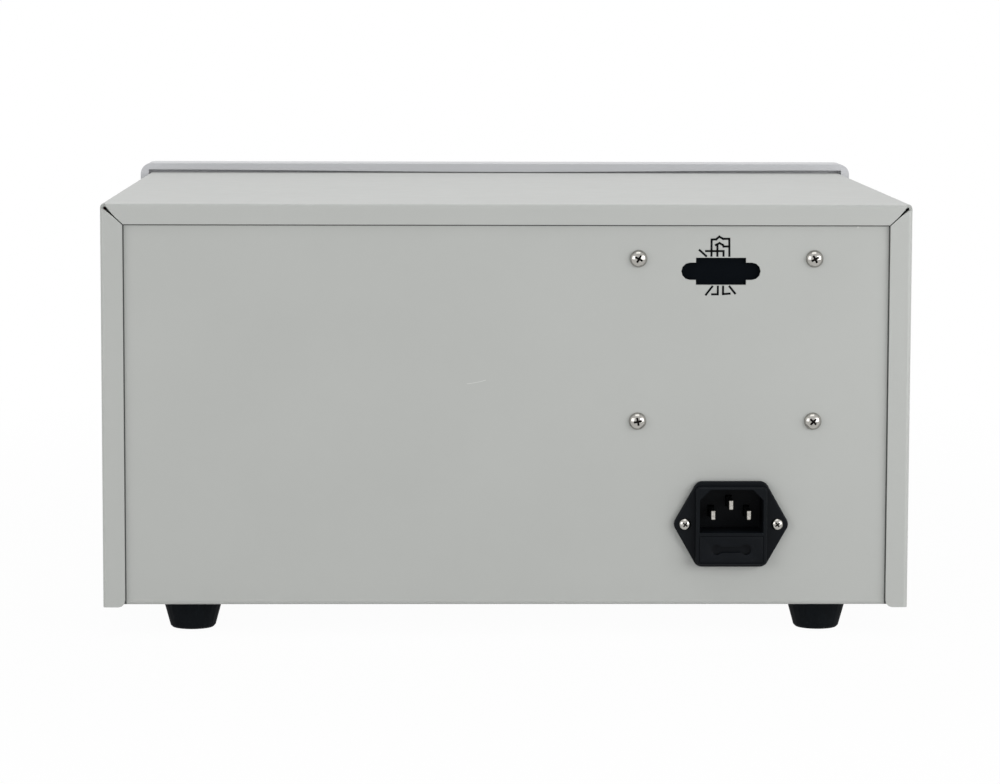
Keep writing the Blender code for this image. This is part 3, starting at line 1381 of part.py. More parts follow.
def inlet_faces():
    """Depths of the inlet's front, the floor of its recess and its back."""
    front = PANEL_REAR_FACE_Y + FIT + INLET_PROUD
    return front, front - RECESS_DEPTH, front - INLET_BODY_DEPTH - INLET_PROUD


def inlet_housing():
    """Moulded inlet: flange, raised block and body in one, with recess and drawer pocket."""
    x = INLET_X
    z = INLET_Z
    front, floor, back = inlet_faces()
    flange_start = PANEL_REAR_FACE_Y + FIT
    flange_y = flange_start + INLET_FLANGE / 2
    obj = flat("inlet_housing", [inlet_flange()], INLET_FLANGE, (x, flange_y, z))
    round_edges(obj, FINE_EDGE)
    body_centre = (x, (front + back) / 2, z)
    body = flat("inlet_body", [inlet_block()], front - back, body_centre, cutter=True)
    round_edges(body, FINE_EDGE, 1)
    join(obj, body)
    recess_end = front + OVERRUN
    recess_centre = (x, (floor + recess_end) / 2, z)
    recess = flat("inlet_recess", [recess_outline()], recess_end - floor, recess_centre, cutter=True)
    pocket_end = front - DRAWER_DEPTH - FIT
    pocket_size = (DRAWER_WIDTH + 2 * FIT, recess_end - pocket_end, DRAWER_HEIGHT + 2 * FIT)
    pocket_centre = (x, (pocket_end + recess_end) / 2, z - DRAWER_DROP)
    pocket = block("drawer_pocket", pocket_size, pocket_centre, cutter=True)
    cut(obj, recess, pocket)
    for name, (across, up) in pin_places().items():
        size = (PIN_WIDTH + 2 * FIT, floor - back + 2 * OVERRUN, PIN_HEIGHT + 2 * FIT)
        centre = (x + across, (floor + back) / 2, z + up)
        cut(obj, block(name + "_hole", size, centre, cutter=True))
    for side in (-1, 1):
        centre_x = x + side * INLET_SCREW_SPACING / 2
        hole_start = flange_start - OVERRUN
        bore = (INLET_SCREW_SHANK + FIT, hole_start, front)
        cut(obj, rod("inlet_screw_hole", *bore, centre_x, z, COARSE_STEPS))
    return finish(obj, DARK_PLASTIC, 0.4)


def inlet_pins():
    """Flat pins in the recess, each with a tab for its wire behind the body."""
    x = INLET_X
    z = INLET_Z
    front, floor, back = inlet_faces()
    for name, (across, up) in pin_places().items():
        tip = front - PIN_SETBACK
        length = tip - back + OVERRUN
        centre = (x + across, tip - length / 2, z + up)
        pin = block(name, (PIN_WIDTH, length, PIN_HEIGHT), centre, FINE_EDGE)
        tab_end = back - OVERRUN - TAB_LENGTH
        tab_start = back - OVERRUN / 2
        tab_size = (TAB_THICKNESS, tab_start - tab_end, TAB_HEIGHT)
        tab_centre = (x + across, (tab_start + tab_end) / 2, z + up)
        tab = block(name + "_tab", tab_size, tab_centre, cutter=True)
        finish(join(pin, tab), NICKEL, 0.25, 1.0)


def inlet_screws():
    """Two small screws through the inlet's flange."""
    x = INLET_X
    z = INLET_Z
    seat_y = PANEL_REAR_FACE_Y + FIT + INLET_FLANGE + FIT
    head = (INLET_SCREW_HEAD, INLET_SCREW_HEAD_HEIGHT)
    shank = (INLET_SCREW_SHANK, INLET_SCREW_LENGTH)
    for column, side in (("left", -1), ("right", 1)):
        seat = (x + side * INLET_SCREW_SPACING / 2, seat_y, z)
        pan_screw(f"inlet_screw_{column}", *head, *shank, seat, "rear")


def finger_pull():
    """Outline of the shallow grip in the drawer's face: a channel between two round ends."""
    run = DRAWER_PULL_WIDTH / 2 - DRAWER_PULL_END_RADIUS
    lean = math.degrees(math.asin(DRAWER_PULL_HEIGHT / 2 / DRAWER_PULL_END_RADIUS))
    right_end = arc(DRAWER_PULL_END_RADIUS, lean - 180, 180 - lean, HALF_ROUND_STEPS, (run, 0))
    left_end = arc(DRAWER_PULL_END_RADIUS, lean, 360 - lean, HALF_ROUND_STEPS, (-run, 0))
    return right_end + left_end


def fuse_drawer():
    """A drawer under the recess that carries the fuse across its inner end."""
    x = INLET_X
    z = INLET_Z - DRAWER_DROP
    front, floor, back = inlet_faces()
    rear = front - DRAWER_DEPTH
    centre = (x, (front + rear) / 2, z)
    drawer = block("fuse_drawer", (DRAWER_WIDTH, DRAWER_DEPTH, DRAWER_HEIGHT), centre)
    round_edges(drawer, FINE_EDGE, 1)
    fuse_y = rear + FUSE_SETBACK
    trough = FUSE_RADIUS + FIT
    half = FUSE_LENGTH / 2 + FIT
    profile = [(0, half), (trough, half), (trough, -half), (0, -half)]
    bed = turned("fuse_bed", profile, (x, fuse_y, z), "right", ROUND_STEPS, True)
    mouth_size = (2 * half, 2 * trough, DRAWER_HEIGHT)
    mouth = block("fuse_mouth", mouth_size, (x, fuse_y, z + DRAWER_HEIGHT / 2), cutter=True)
    pull = flat("drawer_pull", [finger_pull()], 2 * DRAWER_PULL_DEPTH, (x, front, z), cutter=True)
    cut(drawer, bed, mouth, pull)
    finish(drawer, DARK_PLASTIC, 0.4)
    fuse_half = FUSE_LENGTH / 2
    cap = FUSE_LENGTH / 4
    glass = FUSE_RADIUS - FUSE_CAP_SHEET
    fuse = [
        (0, fuse_half),
        (FUSE_RADIUS, fuse_half),
        (FUSE_RADIUS, fuse_half - cap),
        (glass, fuse_half - cap),
        (glass, cap - fuse_half),
        (FUSE_RADIUS, cap - fuse_half),
        (FUSE_RADIUS, -fuse_half),
        (0, -fuse_half),
    ]
    finish(turned("fuse", fuse, (x, fuse_y, z), "right", COARSE_STEPS), NICKEL, 0.25, 0.9)


def side_screws():
    """Screws through the cover's sides into the tray's lips."""
    z = TRAY_Z + SIDE_SCREW_RISE
    head = (SIDE_SCREW_HEAD, SIDE_SCREW_HEAD_HEIGHT)
    shank = (SIDE_SCREW_SHANK, SIDE_SCREW_LENGTH)
    for row, y in zip(("front", "rear"), side_screw_points()):
        for facing, side in (("left", -1), ("right", 1)):
            seat = (side * (COVER_HALF + FIT), y, z)
            pan_screw(f"side_screw_{row}_{facing}", *head, *shank, seat, facing)


def build():
    cut(cover(), side_cutter("cover_openings", side_vent_outlines() + side_screw_outlines()))
    chassis()
    feet()
    front_bezel()
    front_panel()
    display_window()
    displays()
    control_board()
    range_keys()
    power_switch()
    push_button("start_button", START_X, (0.02, 0.35, 0.07))
    push_button("reset_button", RESET_X, (0.5, 0.015, 0.015))
    limit_control()
    voltage_control()
    variac()
    transformer()
    lamps()
    test_sockets()
    rear_screws()
    interface_board()
    inlet_housing()
    inlet_pins()
    inlet_screws()
    fuse_drawer()
    side_screws()
    for obj in PARTS.objects:
        obj.data.shade_smooth()
        obj.data.set_sharp_from_angle(angle=math.radians(30))


build()
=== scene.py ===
"""Looks of the leakage current tester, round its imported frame.

The front faces -Y and the rear panel with the mains inlet faces +Y. Sizes are in metres.
"""

import json
import math

import bpy
from mathutils import Matrix, Vector


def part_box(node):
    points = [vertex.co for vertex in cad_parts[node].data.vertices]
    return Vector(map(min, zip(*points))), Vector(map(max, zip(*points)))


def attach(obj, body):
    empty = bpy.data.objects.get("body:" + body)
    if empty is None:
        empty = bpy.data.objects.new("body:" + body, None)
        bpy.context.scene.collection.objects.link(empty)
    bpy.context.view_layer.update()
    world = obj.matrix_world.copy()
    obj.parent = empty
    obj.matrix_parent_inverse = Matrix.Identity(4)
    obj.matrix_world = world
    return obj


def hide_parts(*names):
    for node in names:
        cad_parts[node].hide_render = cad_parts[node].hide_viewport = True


MM = 0.001

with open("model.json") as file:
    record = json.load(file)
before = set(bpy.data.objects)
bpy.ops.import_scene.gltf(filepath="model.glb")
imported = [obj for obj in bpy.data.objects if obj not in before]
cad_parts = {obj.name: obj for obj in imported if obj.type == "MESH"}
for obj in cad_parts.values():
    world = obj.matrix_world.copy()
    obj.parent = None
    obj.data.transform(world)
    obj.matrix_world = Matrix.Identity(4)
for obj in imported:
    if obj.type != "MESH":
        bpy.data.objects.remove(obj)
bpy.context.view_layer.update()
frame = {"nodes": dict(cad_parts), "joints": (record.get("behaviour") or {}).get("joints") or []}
NODES = frame["nodes"]
JOINTS = {joint["name"]: joint for joint in frame["joints"]}

# How far printed ink stands off a surface, and how thick it is drawn
INK_LIFT = 0.01 * MM
INK = 0.03 * MM

COVER_LOW, COVER_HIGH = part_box("cover")
CHASSIS_LOW, CHASSIS_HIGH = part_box("chassis")
PANEL_LOW, PANEL_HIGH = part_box("front_panel")
WINDOW_LOW, WINDOW_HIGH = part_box("display_window")
REAR_FACE_Y = CHASSIS_HIGH.y
INLET_FLANGE_Y = REAR_FACE_Y + 2.5 * MM
PRINT_Y = PANEL_LOW.y - INK_LIFT - INK / 2
PORT_CENTRE = Vector((-83.5, 0.0, 143.3)) * MM

# Where the cover's rear flanges end, in from its sides and down from its top, and how wide the
# line of painted shade beside them is, where the flanges' shadow falls in the crease
SEAM_X = COVER_HIGH.x - 8.6 * MM
SEAM_Z = COVER_HIGH.z - 8.0 * MM
SEAM_SHADE_WIDTH = 0.5 * MM

# Painted shade in the mitre of those flanges, a dark wedge for its open gap: half its width at the
# inner end, how much that grows towards the corner, how far up it reaches and how thick the flange
# is that shows it
MITRE_START = 0.1 * MM
MITRE_GAPE = 1.0 * MM
MITRE_END = 6.8 * MM
MITRE_DEPTH = 0.3 * MM

# Marks on the rear panel: a light scratch, with its fall and its bow for each metre along it, and
# a chip. WEAR_SHARE is how much of the bare colour shows in them.
SCRATCH_X = 8.1 * MM
SCRATCH_Z = 100.6 * MM
SCRATCH_LENGTH = 7.4 * MM
SCRATCH_HALF_WIDTH = 0.14 * MM
SCRATCH_FALL = 0.3
SCRATCH_BOW = -14.0
CHIP_PLACE = Vector((-136.8 * MM, REAR_FACE_Y, 160.7 * MM))
CHIP_RADIUS = 0.45 * MM
WEAR_SHARE = 0.4

# Circuit boards: their thickness, the switches before the control board, and the margin in which
# a face still counts as the board's
BOARD_THICKNESS = 1.6 * MM
KEY_SWITCH_DEPTH = 3.0 * MM
BOARD_EDGE = 0.05 * MM

# Camera, solved from the straight edges of the case: focal length in pixels of a picture
# 1000 wide, its lean in degrees, and the middle of the cover's upper rear edge in its view
IMAGE_WIDTH = 1000
FOCAL_PIXELS = 3695.0
SENSOR = 36.0
PITCH = 6.11
YAW = -1.09
ROLL = 0.04
EDGE_IN_VIEW = Vector((2.8, -72.9, 1434.8)) * MM

# Rest of each dial's pointer and its travel, in degrees clockwise from the top
DIAL_REST = {"voltage": -160.0, "limit": -150.0}
DIAL_TRAVEL = {"voltage": 320.0, "limit": 300.0}


# Small helpers

# Faces that meet at less than this are shaded as one surface
SMOOTH_ANGLE = math.radians(35)


def linear(colour):
    """A hex sRGB colour as the linear values that a shader takes."""
    channels = [int(colour[start : start + 2], 16) / 255 for start in (1, 3, 5)]
    values = [c / 12.92 if c <= 0.04045 else ((c + 0.055) / 1.055) ** 2.4 for c in channels]
    return (*values, 1.0)


def add(tree, kind, values=None, links=None, **settings):
    """Adds a node with its settings, its input values and the sockets that feed it."""
    made = tree.nodes.new("ShaderNode" + kind)
    for name, value in settings.items():
        setattr(made, name, value)
    for key, value in (values or {}).items():
        made.inputs[key].default_value = value
    for key, source in (links or {}).items():
        tree.links.new(source, made.inputs[key])
    return made


def follow(tree, shader, pattern, what, *values):
    """Lets a surface follow a pattern.

    Its shade runs between two colours, its gloss between two roughnesses, its relief rises by a
    real depth over any relief before it, or a colour covers it where the pattern is one.
    """
    base = shader.inputs["Base Color"]
    normal = shader.inputs["Normal"]
    if what == "shade":
        one, other = values
        shades = {6: linear(one), 7: linear(other)}
        mix = add(tree, "Mix", shades, {"Factor": pattern}, data_type="RGBA")
        tree.links.new(mix.outputs[2], base)
    elif what == "cover":
        links = {"Factor": pattern, 6: base.links[0].from_socket}
        mix = add(tree, "Mix", {7: linear(values[0])}, links, data_type="RGBA")
        tree.links.new(mix.outputs[2], base)
    elif what == "gloss":
        low, high = values
        wander = add(tree, "MapRange", {"To Min": low, "To Max": high}, {"Value": pattern})
        tree.links.new(wander.outputs["Result"], shader.inputs["Roughness"])
    else:
        links = {"Height": pattern}
        if normal.links:
            links["Normal"] = normal.links[0].from_socket
        bump = add(tree, "Bump", {"Distance": values[0], "Strength": 1.0}, links)
        tree.links.new(bump.outputs["Normal"], normal)


def surface(name, colour, roughness, inputs=None, *rows):
    """A material with its tree, its shader and the place on the object.

    Each row says what follows a random pattern, its grain's size and detail, and its values.
    """
    made = bpy.data.materials.new(name)
    made.use_nodes = True
    tree = made.node_tree
    shader = tree.nodes["Principled BSDF"]
    shader.inputs["Base Color"].default_value = linear(colour)
    shader.inputs["Roughness"].default_value = roughness
    for key, value in (inputs or {}).items():
        shader.inputs[key].default_value = value
    place = add(tree, "TexCoord").outputs["Object"]
    for what, size, detail, *values in rows:
        noise = add(tree, "TexNoise", {"Scale": 1 / size, "Detail": detail}, {"Vector": place})
        follow(tree, shader, noise.outputs["Fac"], what, *values)
    return made, tree, shader, place


def finished(name, colour, roughness, inputs=None, *rows):
    """A material that needs nothing more than its rows of random patterns."""
    return surface(name, colour, roughness, inputs, *rows)[0]


def dress(material, *names):
    """Gives CAD nodes their material."""
    for name in names:
        node = NODES[name]
        node.data.materials.clear()
        node.data.materials.append(material)


def select_only(obj):
    bpy.ops.object.select_all(action="DESELECT")
    obj.select_set(True)
    bpy.context.view_layer.objects.active = obj


def settle(obj, name, material, body):
    """Puts a piece's place into its mesh, gives it its material and lets it ride on its body."""
    select_only(obj)
    bpy.ops.object.transform_apply(location=True, rotation=True, scale=True)
    obj.name = name
    obj.data.name = name
    obj.data.materials.clear()
    obj.data.materials.append(material)
    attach(obj, body)
    return obj


def apply_modifiers(obj):
    select_only(obj)
    for modifier in list(obj.modifiers):
        bpy.ops.object.modifier_apply(modifier=modifier.name)


def soften(obj, width, segments=2, angle=50):
    """Rounds the sharp edges of a piece and shades it smooth."""
    bevel = obj.modifiers.new("rounded edges", "BEVEL")
    bevel.width = width
    bevel.segments = segments
    bevel.limit_method = "ANGLE"
    bevel.angle_limit = math.radians(angle)
    apply_modifiers(obj)
    bpy.ops.object.shade_smooth_by_angle(angle=SMOOTH_ANGLE)


def joined(pieces):
    """Several pieces as one mesh."""
    bpy.ops.object.select_all(action="DESELECT")
    for piece in pieces:
        piece.select_set(True)
    bpy.context.view_layer.objects.active = pieces[0]
    bpy.ops.object.join()
    return bpy.context.view_layer.objects.active


def cut_by(obj, cutter):
    """Cuts a piece by another one, which goes away."""
    boolean = obj.modifiers.new("cut", "BOOLEAN")
    boolean.operation = "DIFFERENCE"
    boolean.solver = "EXACT"
    boolean.object = cutter
    apply_modifiers(obj)
    bpy.data.objects.remove(cutter)


def pick(obj, wanted):
    """Selects the vertices of a piece whose place in the scene is wanted, and opens edit mode."""
    bpy.context.view_layer.update()
    select_only(obj)
    bpy.ops.object.mode_set(mode="EDIT")
    bpy.ops.mesh.select_mode(type="VERT")
    bpy.ops.mesh.select_all(action="DESELECT")
    bpy.ops.object.mode_set(mode="OBJECT")
    for vertex in obj.data.vertices:
        vertex.select = wanted(obj.matrix_world @ vertex.co)
    bpy.ops.object.mode_set(mode="EDIT")


def bar(size, centre, turn=(0, 0, 0)):
    """A plain bar to build prints and cutters from."""
    bpy.ops.mesh.primitive_cube_add(size=1, location=centre, rotation=turn)
    obj = bpy.context.active_object
    obj.scale = size
    bpy.ops.object.transform_apply(location=False, rotation=False, scale=True)
    return obj


def round_bar(radius, length, centre, turn=(math.pi / 2, 0, 0), vertices=64):
    """A round bar, along the depth of the instrument where no turn is given."""
    bpy.ops.mesh.primitive_cylinder_add(
        radius=radius, depth=length, location=centre, rotation=turn, vertices=vertices
    )
    return bpy.context.active_object


def copy_of(obj, matrix):
    """A copy with its own mesh, put in place."""
    made = obj.copy()
    made.data = obj.data.copy()
    bpy.context.scene.collection.objects.link(made)
    made.matrix_world = matrix
    return made


# Materials

# At a scale of one, Blender's wave texture runs through this many radians in a metre
WAVE_RADIANS = 20


def powder_coat(name):
    """Satin grey powder coat on sheet steel.

    The eye sees an even, faintly warm grey with a soft sheen and the shallow waves of orange
    peel, which are drawn at 1.4 mm so that they just show in a raking light.
    """
    rows = (
        ("shade", 46 * MM, 2.0, "#B3B5B2", "#B8BAB7"),
        ("relief", 1.4 * MM, 2.0, 0.01 * MM),
        ("relief", 0.5 * MM, 1.0, 0.003 * MM),
        ("gloss", 9 * MM, 2.0, 0.38, 0.48),
    )
    return surface(name, "#B6B8B5", 0.42, None, *rows)


def past_seam(tree, axes):
    """How far a point lies beyond the flanges' inner edges, to the sides and up."""
    aside = add(tree, "Math", None, {0: axes.outputs["X"]}, operation="ABSOLUTE").outputs[0]
    beside = add(tree, "Math", {1: SEAM_X}, {0: aside}, operation="SUBTRACT").outputs[0]
    over = add(tree, "Math", {1: SEAM_Z}, {0: axes.outputs["Z"]}, operation="SUBTRACT").outputs[0]
    return beside, over


def scratched_powder_coat():
    """The same coat on the rear panel, marked as in the photograph.

    A short light scratch and a chip break its evenness, and a thin dark line of painted shade lies
    in the crease along the cover's flanges, where their shadow falls.
    """
    made, tree, shader, place = powder_coat("powder_coated_rear_panel")
    axes = add(tree, "SeparateXYZ", None, {"Vector": place})
    start = {1: SCRATCH_X}
    along = add(tree, "Math", start, {0: axes.outputs["X"]}, operation="SUBTRACT").outputs[0]
    bow = add(tree, "Math", {1: SCRATCH_BOW}, {0: along}, operation="MULTIPLY").outputs[0]
    lean = add(tree, "Math", {1: SCRATCH_FALL}, {0: bow}, operation="ADD").outputs[0]
    level = {2: -SCRATCH_Z}
    fall = add(tree, "Math", level, {0: lean, 1: along}, operation="MULTIPLY_ADD").outputs[0]
    off = add(tree, "Math", None, {0: axes.outputs["Z"], 1: fall}, operation="ADD").outputs[0]
    width = {1: 0.0, 2: SCRATCH_HALF_WIDTH}
    on_line = add(tree, "Math", width, {0: off}, operation="COMPARE").outputs[0]
    middle = {1: SCRATCH_LENGTH / 2, 2: SCRATCH_LENGTH / 2}
    within = add(tree, "Math", middle, {0: along}, operation="COMPARE").outputs[0]
    scratch = add(tree, "Math", None, {0: on_line, 1: within}, operation="MULTIPLY").outputs[0]
    spot = {1: CHIP_PLACE}
    away = add(tree, "VectorMath", spot, {0: place}, operation="DISTANCE").outputs["Value"]
    chip = add(tree, "Math", {1: CHIP_RADIUS}, {0: away}, operation="LESS_THAN").outputs[0]
    worn = add(tree, "Math", None, {0: scratch, 1: chip}, operation="MAXIMUM").outputs[0]
    share = add(tree, "Math", {1: WEAR_SHARE}, {0: worn}, operation="MULTIPLY").outputs[0]
    follow(tree, shader, share, "cover", "#E4E5E2")
    # Painted shade: a thin dark line along the flanges' inner edges, where their shadow falls in
    # the crease
    beside, over = past_seam(tree, axes)
    near = add(tree, "Math", None, {0: beside, 1: over}, operation="MAXIMUM").outputs[0]
    seam_shade = add(tree, "Math", {1: -SEAM_SHADE_WIDTH}, {0: near}, operation="GREATER_THAN").outputs[0]
    follow(tree, shader, seam_shade, "cover", "#4E504E")
    return made


def mitred_powder_coat():
    """The same coat on the cover, with painted shade in the mitres of its rear flanges.

    The eye sees the mitre as a thin wedge, hardly open at its inner end and wide at the corner.
    """
    made, tree, shader, place = powder_coat("powder_coated_cover")
    axes = add(tree, "SeparateXYZ", None, {"Vector": place})
    beside, over = past_seam(tree, axes)
    # Painted shade: a dark wedge along each mitre, widest at the corner, for the open gap there
    lean = (COVER_HIGH.z - SEAM_Z) / (COVER_HIGH.x - SEAM_X)
    level = add(tree, "Math", {1: lean}, {0: beside}, operation="MULTIPLY").outputs[0]
    squared = add(tree, "Math", None, {0: over, 1: over}, operation="MULTIPLY").outputs[0]
    growth = {1: MITRE_GAPE / MITRE_END**2, 2: MITRE_START}
    gape = add(tree, "Math", growth, {0: squared}, operation="MULTIPLY_ADD").outputs[0]
    links = {0: level, 1: over, 2: gape}
    in_wedge = add(tree, "Math", None, links, operation="COMPARE").outputs[0]
    middle = {1: MITRE_END / 2, 2: MITRE_END / 2}
    along = add(tree, "Math", middle, {0: over}, operation="COMPARE").outputs[0]
    face = {1: COVER_HIGH.y - MITRE_DEPTH}
    behind = add(tree, "Math", face, {0: axes.outputs["Y"]}, operation="GREATER_THAN").outputs[0]
    flat = add(tree, "Math", None, {0: along, 1: behind}, operation="MULTIPLY").outputs[0]
    mitre_shade = add(tree, "Math", None, {0: in_wedge, 1: flat}, operation="MULTIPLY").outputs[0]
    follow(tree, shader, mitre_shade, "cover", "#1C1D1C")
    return made


def moulded_abs():
    """Grey ABS of the bezel: a little cooler than the paint, with a fine spark texture."""
    shade = ("shade", 30 * MM, 2.0, "#C8C9CC", "#CECFD2")
    relief = ("relief", 0.4 * MM, 3.0, 0.01 * MM)
    return finished("moulded_abs", "#CBCCCF", 0.45, None, shade, relief)


def front_film():
    """Printed polyester film over the front panel: near white, with a very fine matt grain."""
    shade = ("shade", 25 * MM, 2.0, "#D7D9D8", "#DCDEDD")
    relief = ("relief", 0.35 * MM, 1.0, 0.005 * MM)
    return finished("polyester_film", "#D9DBDA", 0.5, None, shade, relief)


def black_nylon():
    """Moulded black nylon of the inlet: satin, slightly cold black with a fine mould texture."""
    inputs = {"Specular IOR Level": 0.08}
    shade = ("shade", 5 * MM, 2.0, "#0A0D10", "#101317")
    relief = ("relief", 0.25 * MM, 3.0, 0.008 * MM)
    return finished("moulded_nylon", "#0D1012", 0.42, inputs, shade, relief)


def black_abs():
    """Glossier black ABS of knobs and switches, with faint handling marks in its sheen."""
    shade = ("shade", 6 * MM, 2.0, "#151618", "#1C1D1F")
    gloss = ("gloss", 4 * MM, 4.0, 0.24, 0.4)
    relief = ("relief", 0.3 * MM, 2.0, 0.006 * MM)
    return finished("black_abs", "#17181A", 0.3, None, shade, gloss, relief)


def neoprene():
    """Moulded rubber of the feet: deep blue-black, matt, with a dusty bloom and a pebbled skin."""
    inputs = {"Specular IOR Level": 0.08}
    shade = ("shade", 3 * MM, 4.0, "#0B0E10", "#12161A")
    relief = ("relief", 0.5 * MM, 4.0, 0.03 * MM)
    return finished("neoprene_rubber", "#0D1012", 0.75, inputs, shade, relief)


def nickel_plate():
    """Nickel on pressed steel: a warm mirror, finely uneven, with painted shade in a recess."""
    shade = ("shade", 1.5 * MM, 2.0, "#B3B1AC", "#A09E99")
    relief = ("relief", 0.6 * MM, 3.0, 0.006 * MM)
    inputs = {"Metallic": 1.0}
    made, tree, shader, _ = surface("nickel_plated_steel", "#AEACA7", 0.1, inputs, shade, relief)
    # Painted shade: the deeper a point lies in the cross recess, the darker it is painted
    depth = add(tree, "Attribute", attribute_name="recess_depth").outputs["Fac"]
    reach = {"From Min": 0.01, "From Max": 0.12}
    recess_shade = add(tree, "MapRange", reach, {"Value": depth}).outputs["Result"]
    follow(tree, shader, recess_shade, "cover", "#1A1917")
    return made


def worn_nickel():
    """Nickel of the inlet's pins, in bright and dim streaks.

    All but the tip is painted dark as shade on the flanks, and the tip's bright streaks are
    painted glints.
    """
    shade = ("shade", 0.9 * MM, 3.0, "#6E6B66", "#E6E3DC")
    relief = ("relief", 0.3 * MM, 3.0, 0.01 * MM)
    inputs = {"Metallic": 1.0}
    made, tree, shader, place = surface("worn_nickel", "#7A7771", 0.22, inputs, shade, relief)
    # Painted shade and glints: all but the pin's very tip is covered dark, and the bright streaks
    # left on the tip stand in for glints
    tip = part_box("inlet_pin_live")[1].y
    axes = add(tree, "SeparateXYZ", None, {"Vector": place})
    reach = {"From Min": tip - 0.1 * MM, "From Max": tip - 0.02 * MM, "To Min": 1.0, "To Max": 0.0}
    flank_shade = add(tree, "MapRange", reach, {"Value": axes.outputs["Y"]}).outputs["Result"]
    follow(tree, shader, flank_shade, "cover", "#3A3835")
    return made


def zinc_plate():
    """Zinc-plated steel of brackets and shafts: greyer than nickel, with soft blotches of haze."""
    shade = ("shade", 7 * MM, 5.0, "#B2B5B8", "#9A9DA2")
    gloss = ("gloss", 6 * MM, 4.0, 0.26, 0.45)
    return finished("zinc_plated_steel", "#A9ACB0", 0.34, {"Metallic": 1.0}, shade, gloss)


def banded(name, shades, radian, direction, depth, roughness, inputs=None):
    """A surface of even bands for laminations, wire and tape, each 2 pi times radian wide."""
    made, tree, shader, place = surface(name, shades[0], roughness, inputs)
    values = {"Scale": 1 / radian / WAVE_RADIANS, "Distortion": 0.3}
    waves = add(tree, "TexWave", values, {"Vector": place}, bands_direction=direction)
    follow(tree, shader, waves.outputs["Fac"], "shade", *shades)
    follow(tree, shader, waves.outputs["Fac"], "relief", depth)
    return made


def lamination_steel():
    """Stacked core sheets: dark varnished steel with parallel lines, drawn coarse, 6.3 mm apart."""
    shades = ("#3A3836", "#5A5754")
    return banded("core_laminations", shades, 1.0 * MM, "Y", 0.05 * MM, 0.5, {"Metallic": 0.6})


def enamelled_wire():
    """Turns of enamelled copper wire in even rounds, drawn coarse, 9.4 mm apart.

    Their colour runs from painted shade between the turns to a warm painted sheen on their crowns.
    """
    shades = ("#552A12", "#A85E2E")
    return banded("enamelled_wire", shades, 1.5 * MM, "Y", 0.25 * MM, 0.28, {"Coat Weight": 0.6})


def coil_tape():
    """Amber polyester tape round the coil: glossy, with a soft overlap line every 75 mm."""
    return banded("polyester_tape", ("#C08C2A", "#A87518"), 12 * MM, "X", 0.15 * MM, 0.25)


def circuit_board(name, board_low, board_high):
    """Green solder mask over brighter copper tracks; what stands off the board is dark plastic."""
    made, tree, shader, place = surface(name, "#155C33", 0.3)
    axes = add(tree, "SeparateXYZ", None, {"Vector": place})
    flat = add(tree, "CombineXYZ", None, {"X": axes.outputs["X"], "Y": axes.outputs["Z"]})
    sizes = {"Scale": 1 / (40 * MM), "Mortar Size": 0.02, "Brick Width": 0.35, "Row Height": 0.12}
    shades = {
        "Color1": linear("#14552F"),
        "Color2": linear("#185F36"),
        "Mortar": linear("#2F8A52"),
    }
    tracks = add(tree, "TexBrick", {**sizes, **shades}, {"Vector": flat.outputs["Vector"]})
    reach = {1: (board_low + board_high) / 2, 2: (board_high - board_low) / 2}
    on_board = add(tree, "Math", reach, {0: axes.outputs["Y"]}, operation="COMPARE")
    links = {"Factor": on_board.outputs[0], 7: tracks.outputs["Color"]}
    mix = add(tree, "Mix", {6: linear("#23262A")}, links, data_type="RGBA")
    tree.links.new(mix.outputs[2], shader.inputs["Base Color"])
    follow(tree, shader, tracks.outputs["Fac"], "relief", 0.04 * MM)
    return made


def insulating_film():
    """Black vulcanised fibre behind the port, with a faint fibrous cloud.

    It is dead matt and blacker than real fibre: painted shade for the dark inside the case behind
    the port.
    """
    # Painted shade: colour and specular set so low that the sheet stands in for the unlit inside of
    # the case
    inputs = {"Specular IOR Level": 0.03}
    shade = ("shade", 8 * MM, 5.0, "#090C10", "#0C1014")
    relief = ("relief", 0.8 * MM, 4.0, 0.02 * MM)
    return finished("vulcanised_fibre_painted_shade", "#06070A", 0.9, inputs, shade, relief)


def smoked_acrylic():
    """Red-smoked acrylic of the display window: polished, dark, just clear enough to see into."""
    inputs = {"Transmission Weight": 0.9, "IOR": 1.49}
    shade = ("shade", 40 * MM, 2.0, "#A02C34", "#AC343C")
    relief = ("relief", 30 * MM, 1.0, 0.02 * MM)
    return finished("smoked_acrylic", "#A63038", 0.03, inputs, shade, relief)


def gloss_cap(name, colour, dark):
    """Gloss-moulded coloured cap, a little uneven where the colour is deep."""
    shade = ("shade", 4 * MM, 2.0, colour, dark)
    relief = ("relief", 2 * MM, 1.0, 0.01 * MM)
    return finished(name, colour, 0.2, {"Coat Weight": 0.3}, shade, relief)


def lens(name, colour, dark):
    """Transparent coloured lens of a pilot lamp, unlit, with fine diffusing pips inside."""
    inputs = {"Transmission Weight": 0.35, "IOR": 1.49}
    made, tree, shader, place = surface(name, colour, 0.08, inputs)
    pips = add(tree, "TexVoronoi", {"Scale": 1 / (0.8 * MM)}, {"Vector": place})
    follow(tree, shader, pips.outputs["Distance"], "shade", colour, dark)
    follow(tree, shader, pips.outputs["Distance"], "relief", 0.05 * MM)
    return made


def key_plastic():
    """Pale keycap plastic with a fine satin texture."""
    shade = ("shade", 3 * MM, 2.0, "#C6C8CA", "#CED0D2")
    relief = ("relief", 0.3 * MM, 3.0, 0.01 * MM)
    return finished("satin_keycap", "#C9CBCD", 0.42, None, shade, relief)


def screen_ink(name, colour, other):
    """Screen-printed ink: matt, opaque, with the slightly uneven tone of a squeegee pull."""
    shade = ("shade", 0.9 * MM, 4.0, colour, other)
    return finished(name, colour, 0.6, {"Specular IOR Level": 0.1}, shade)


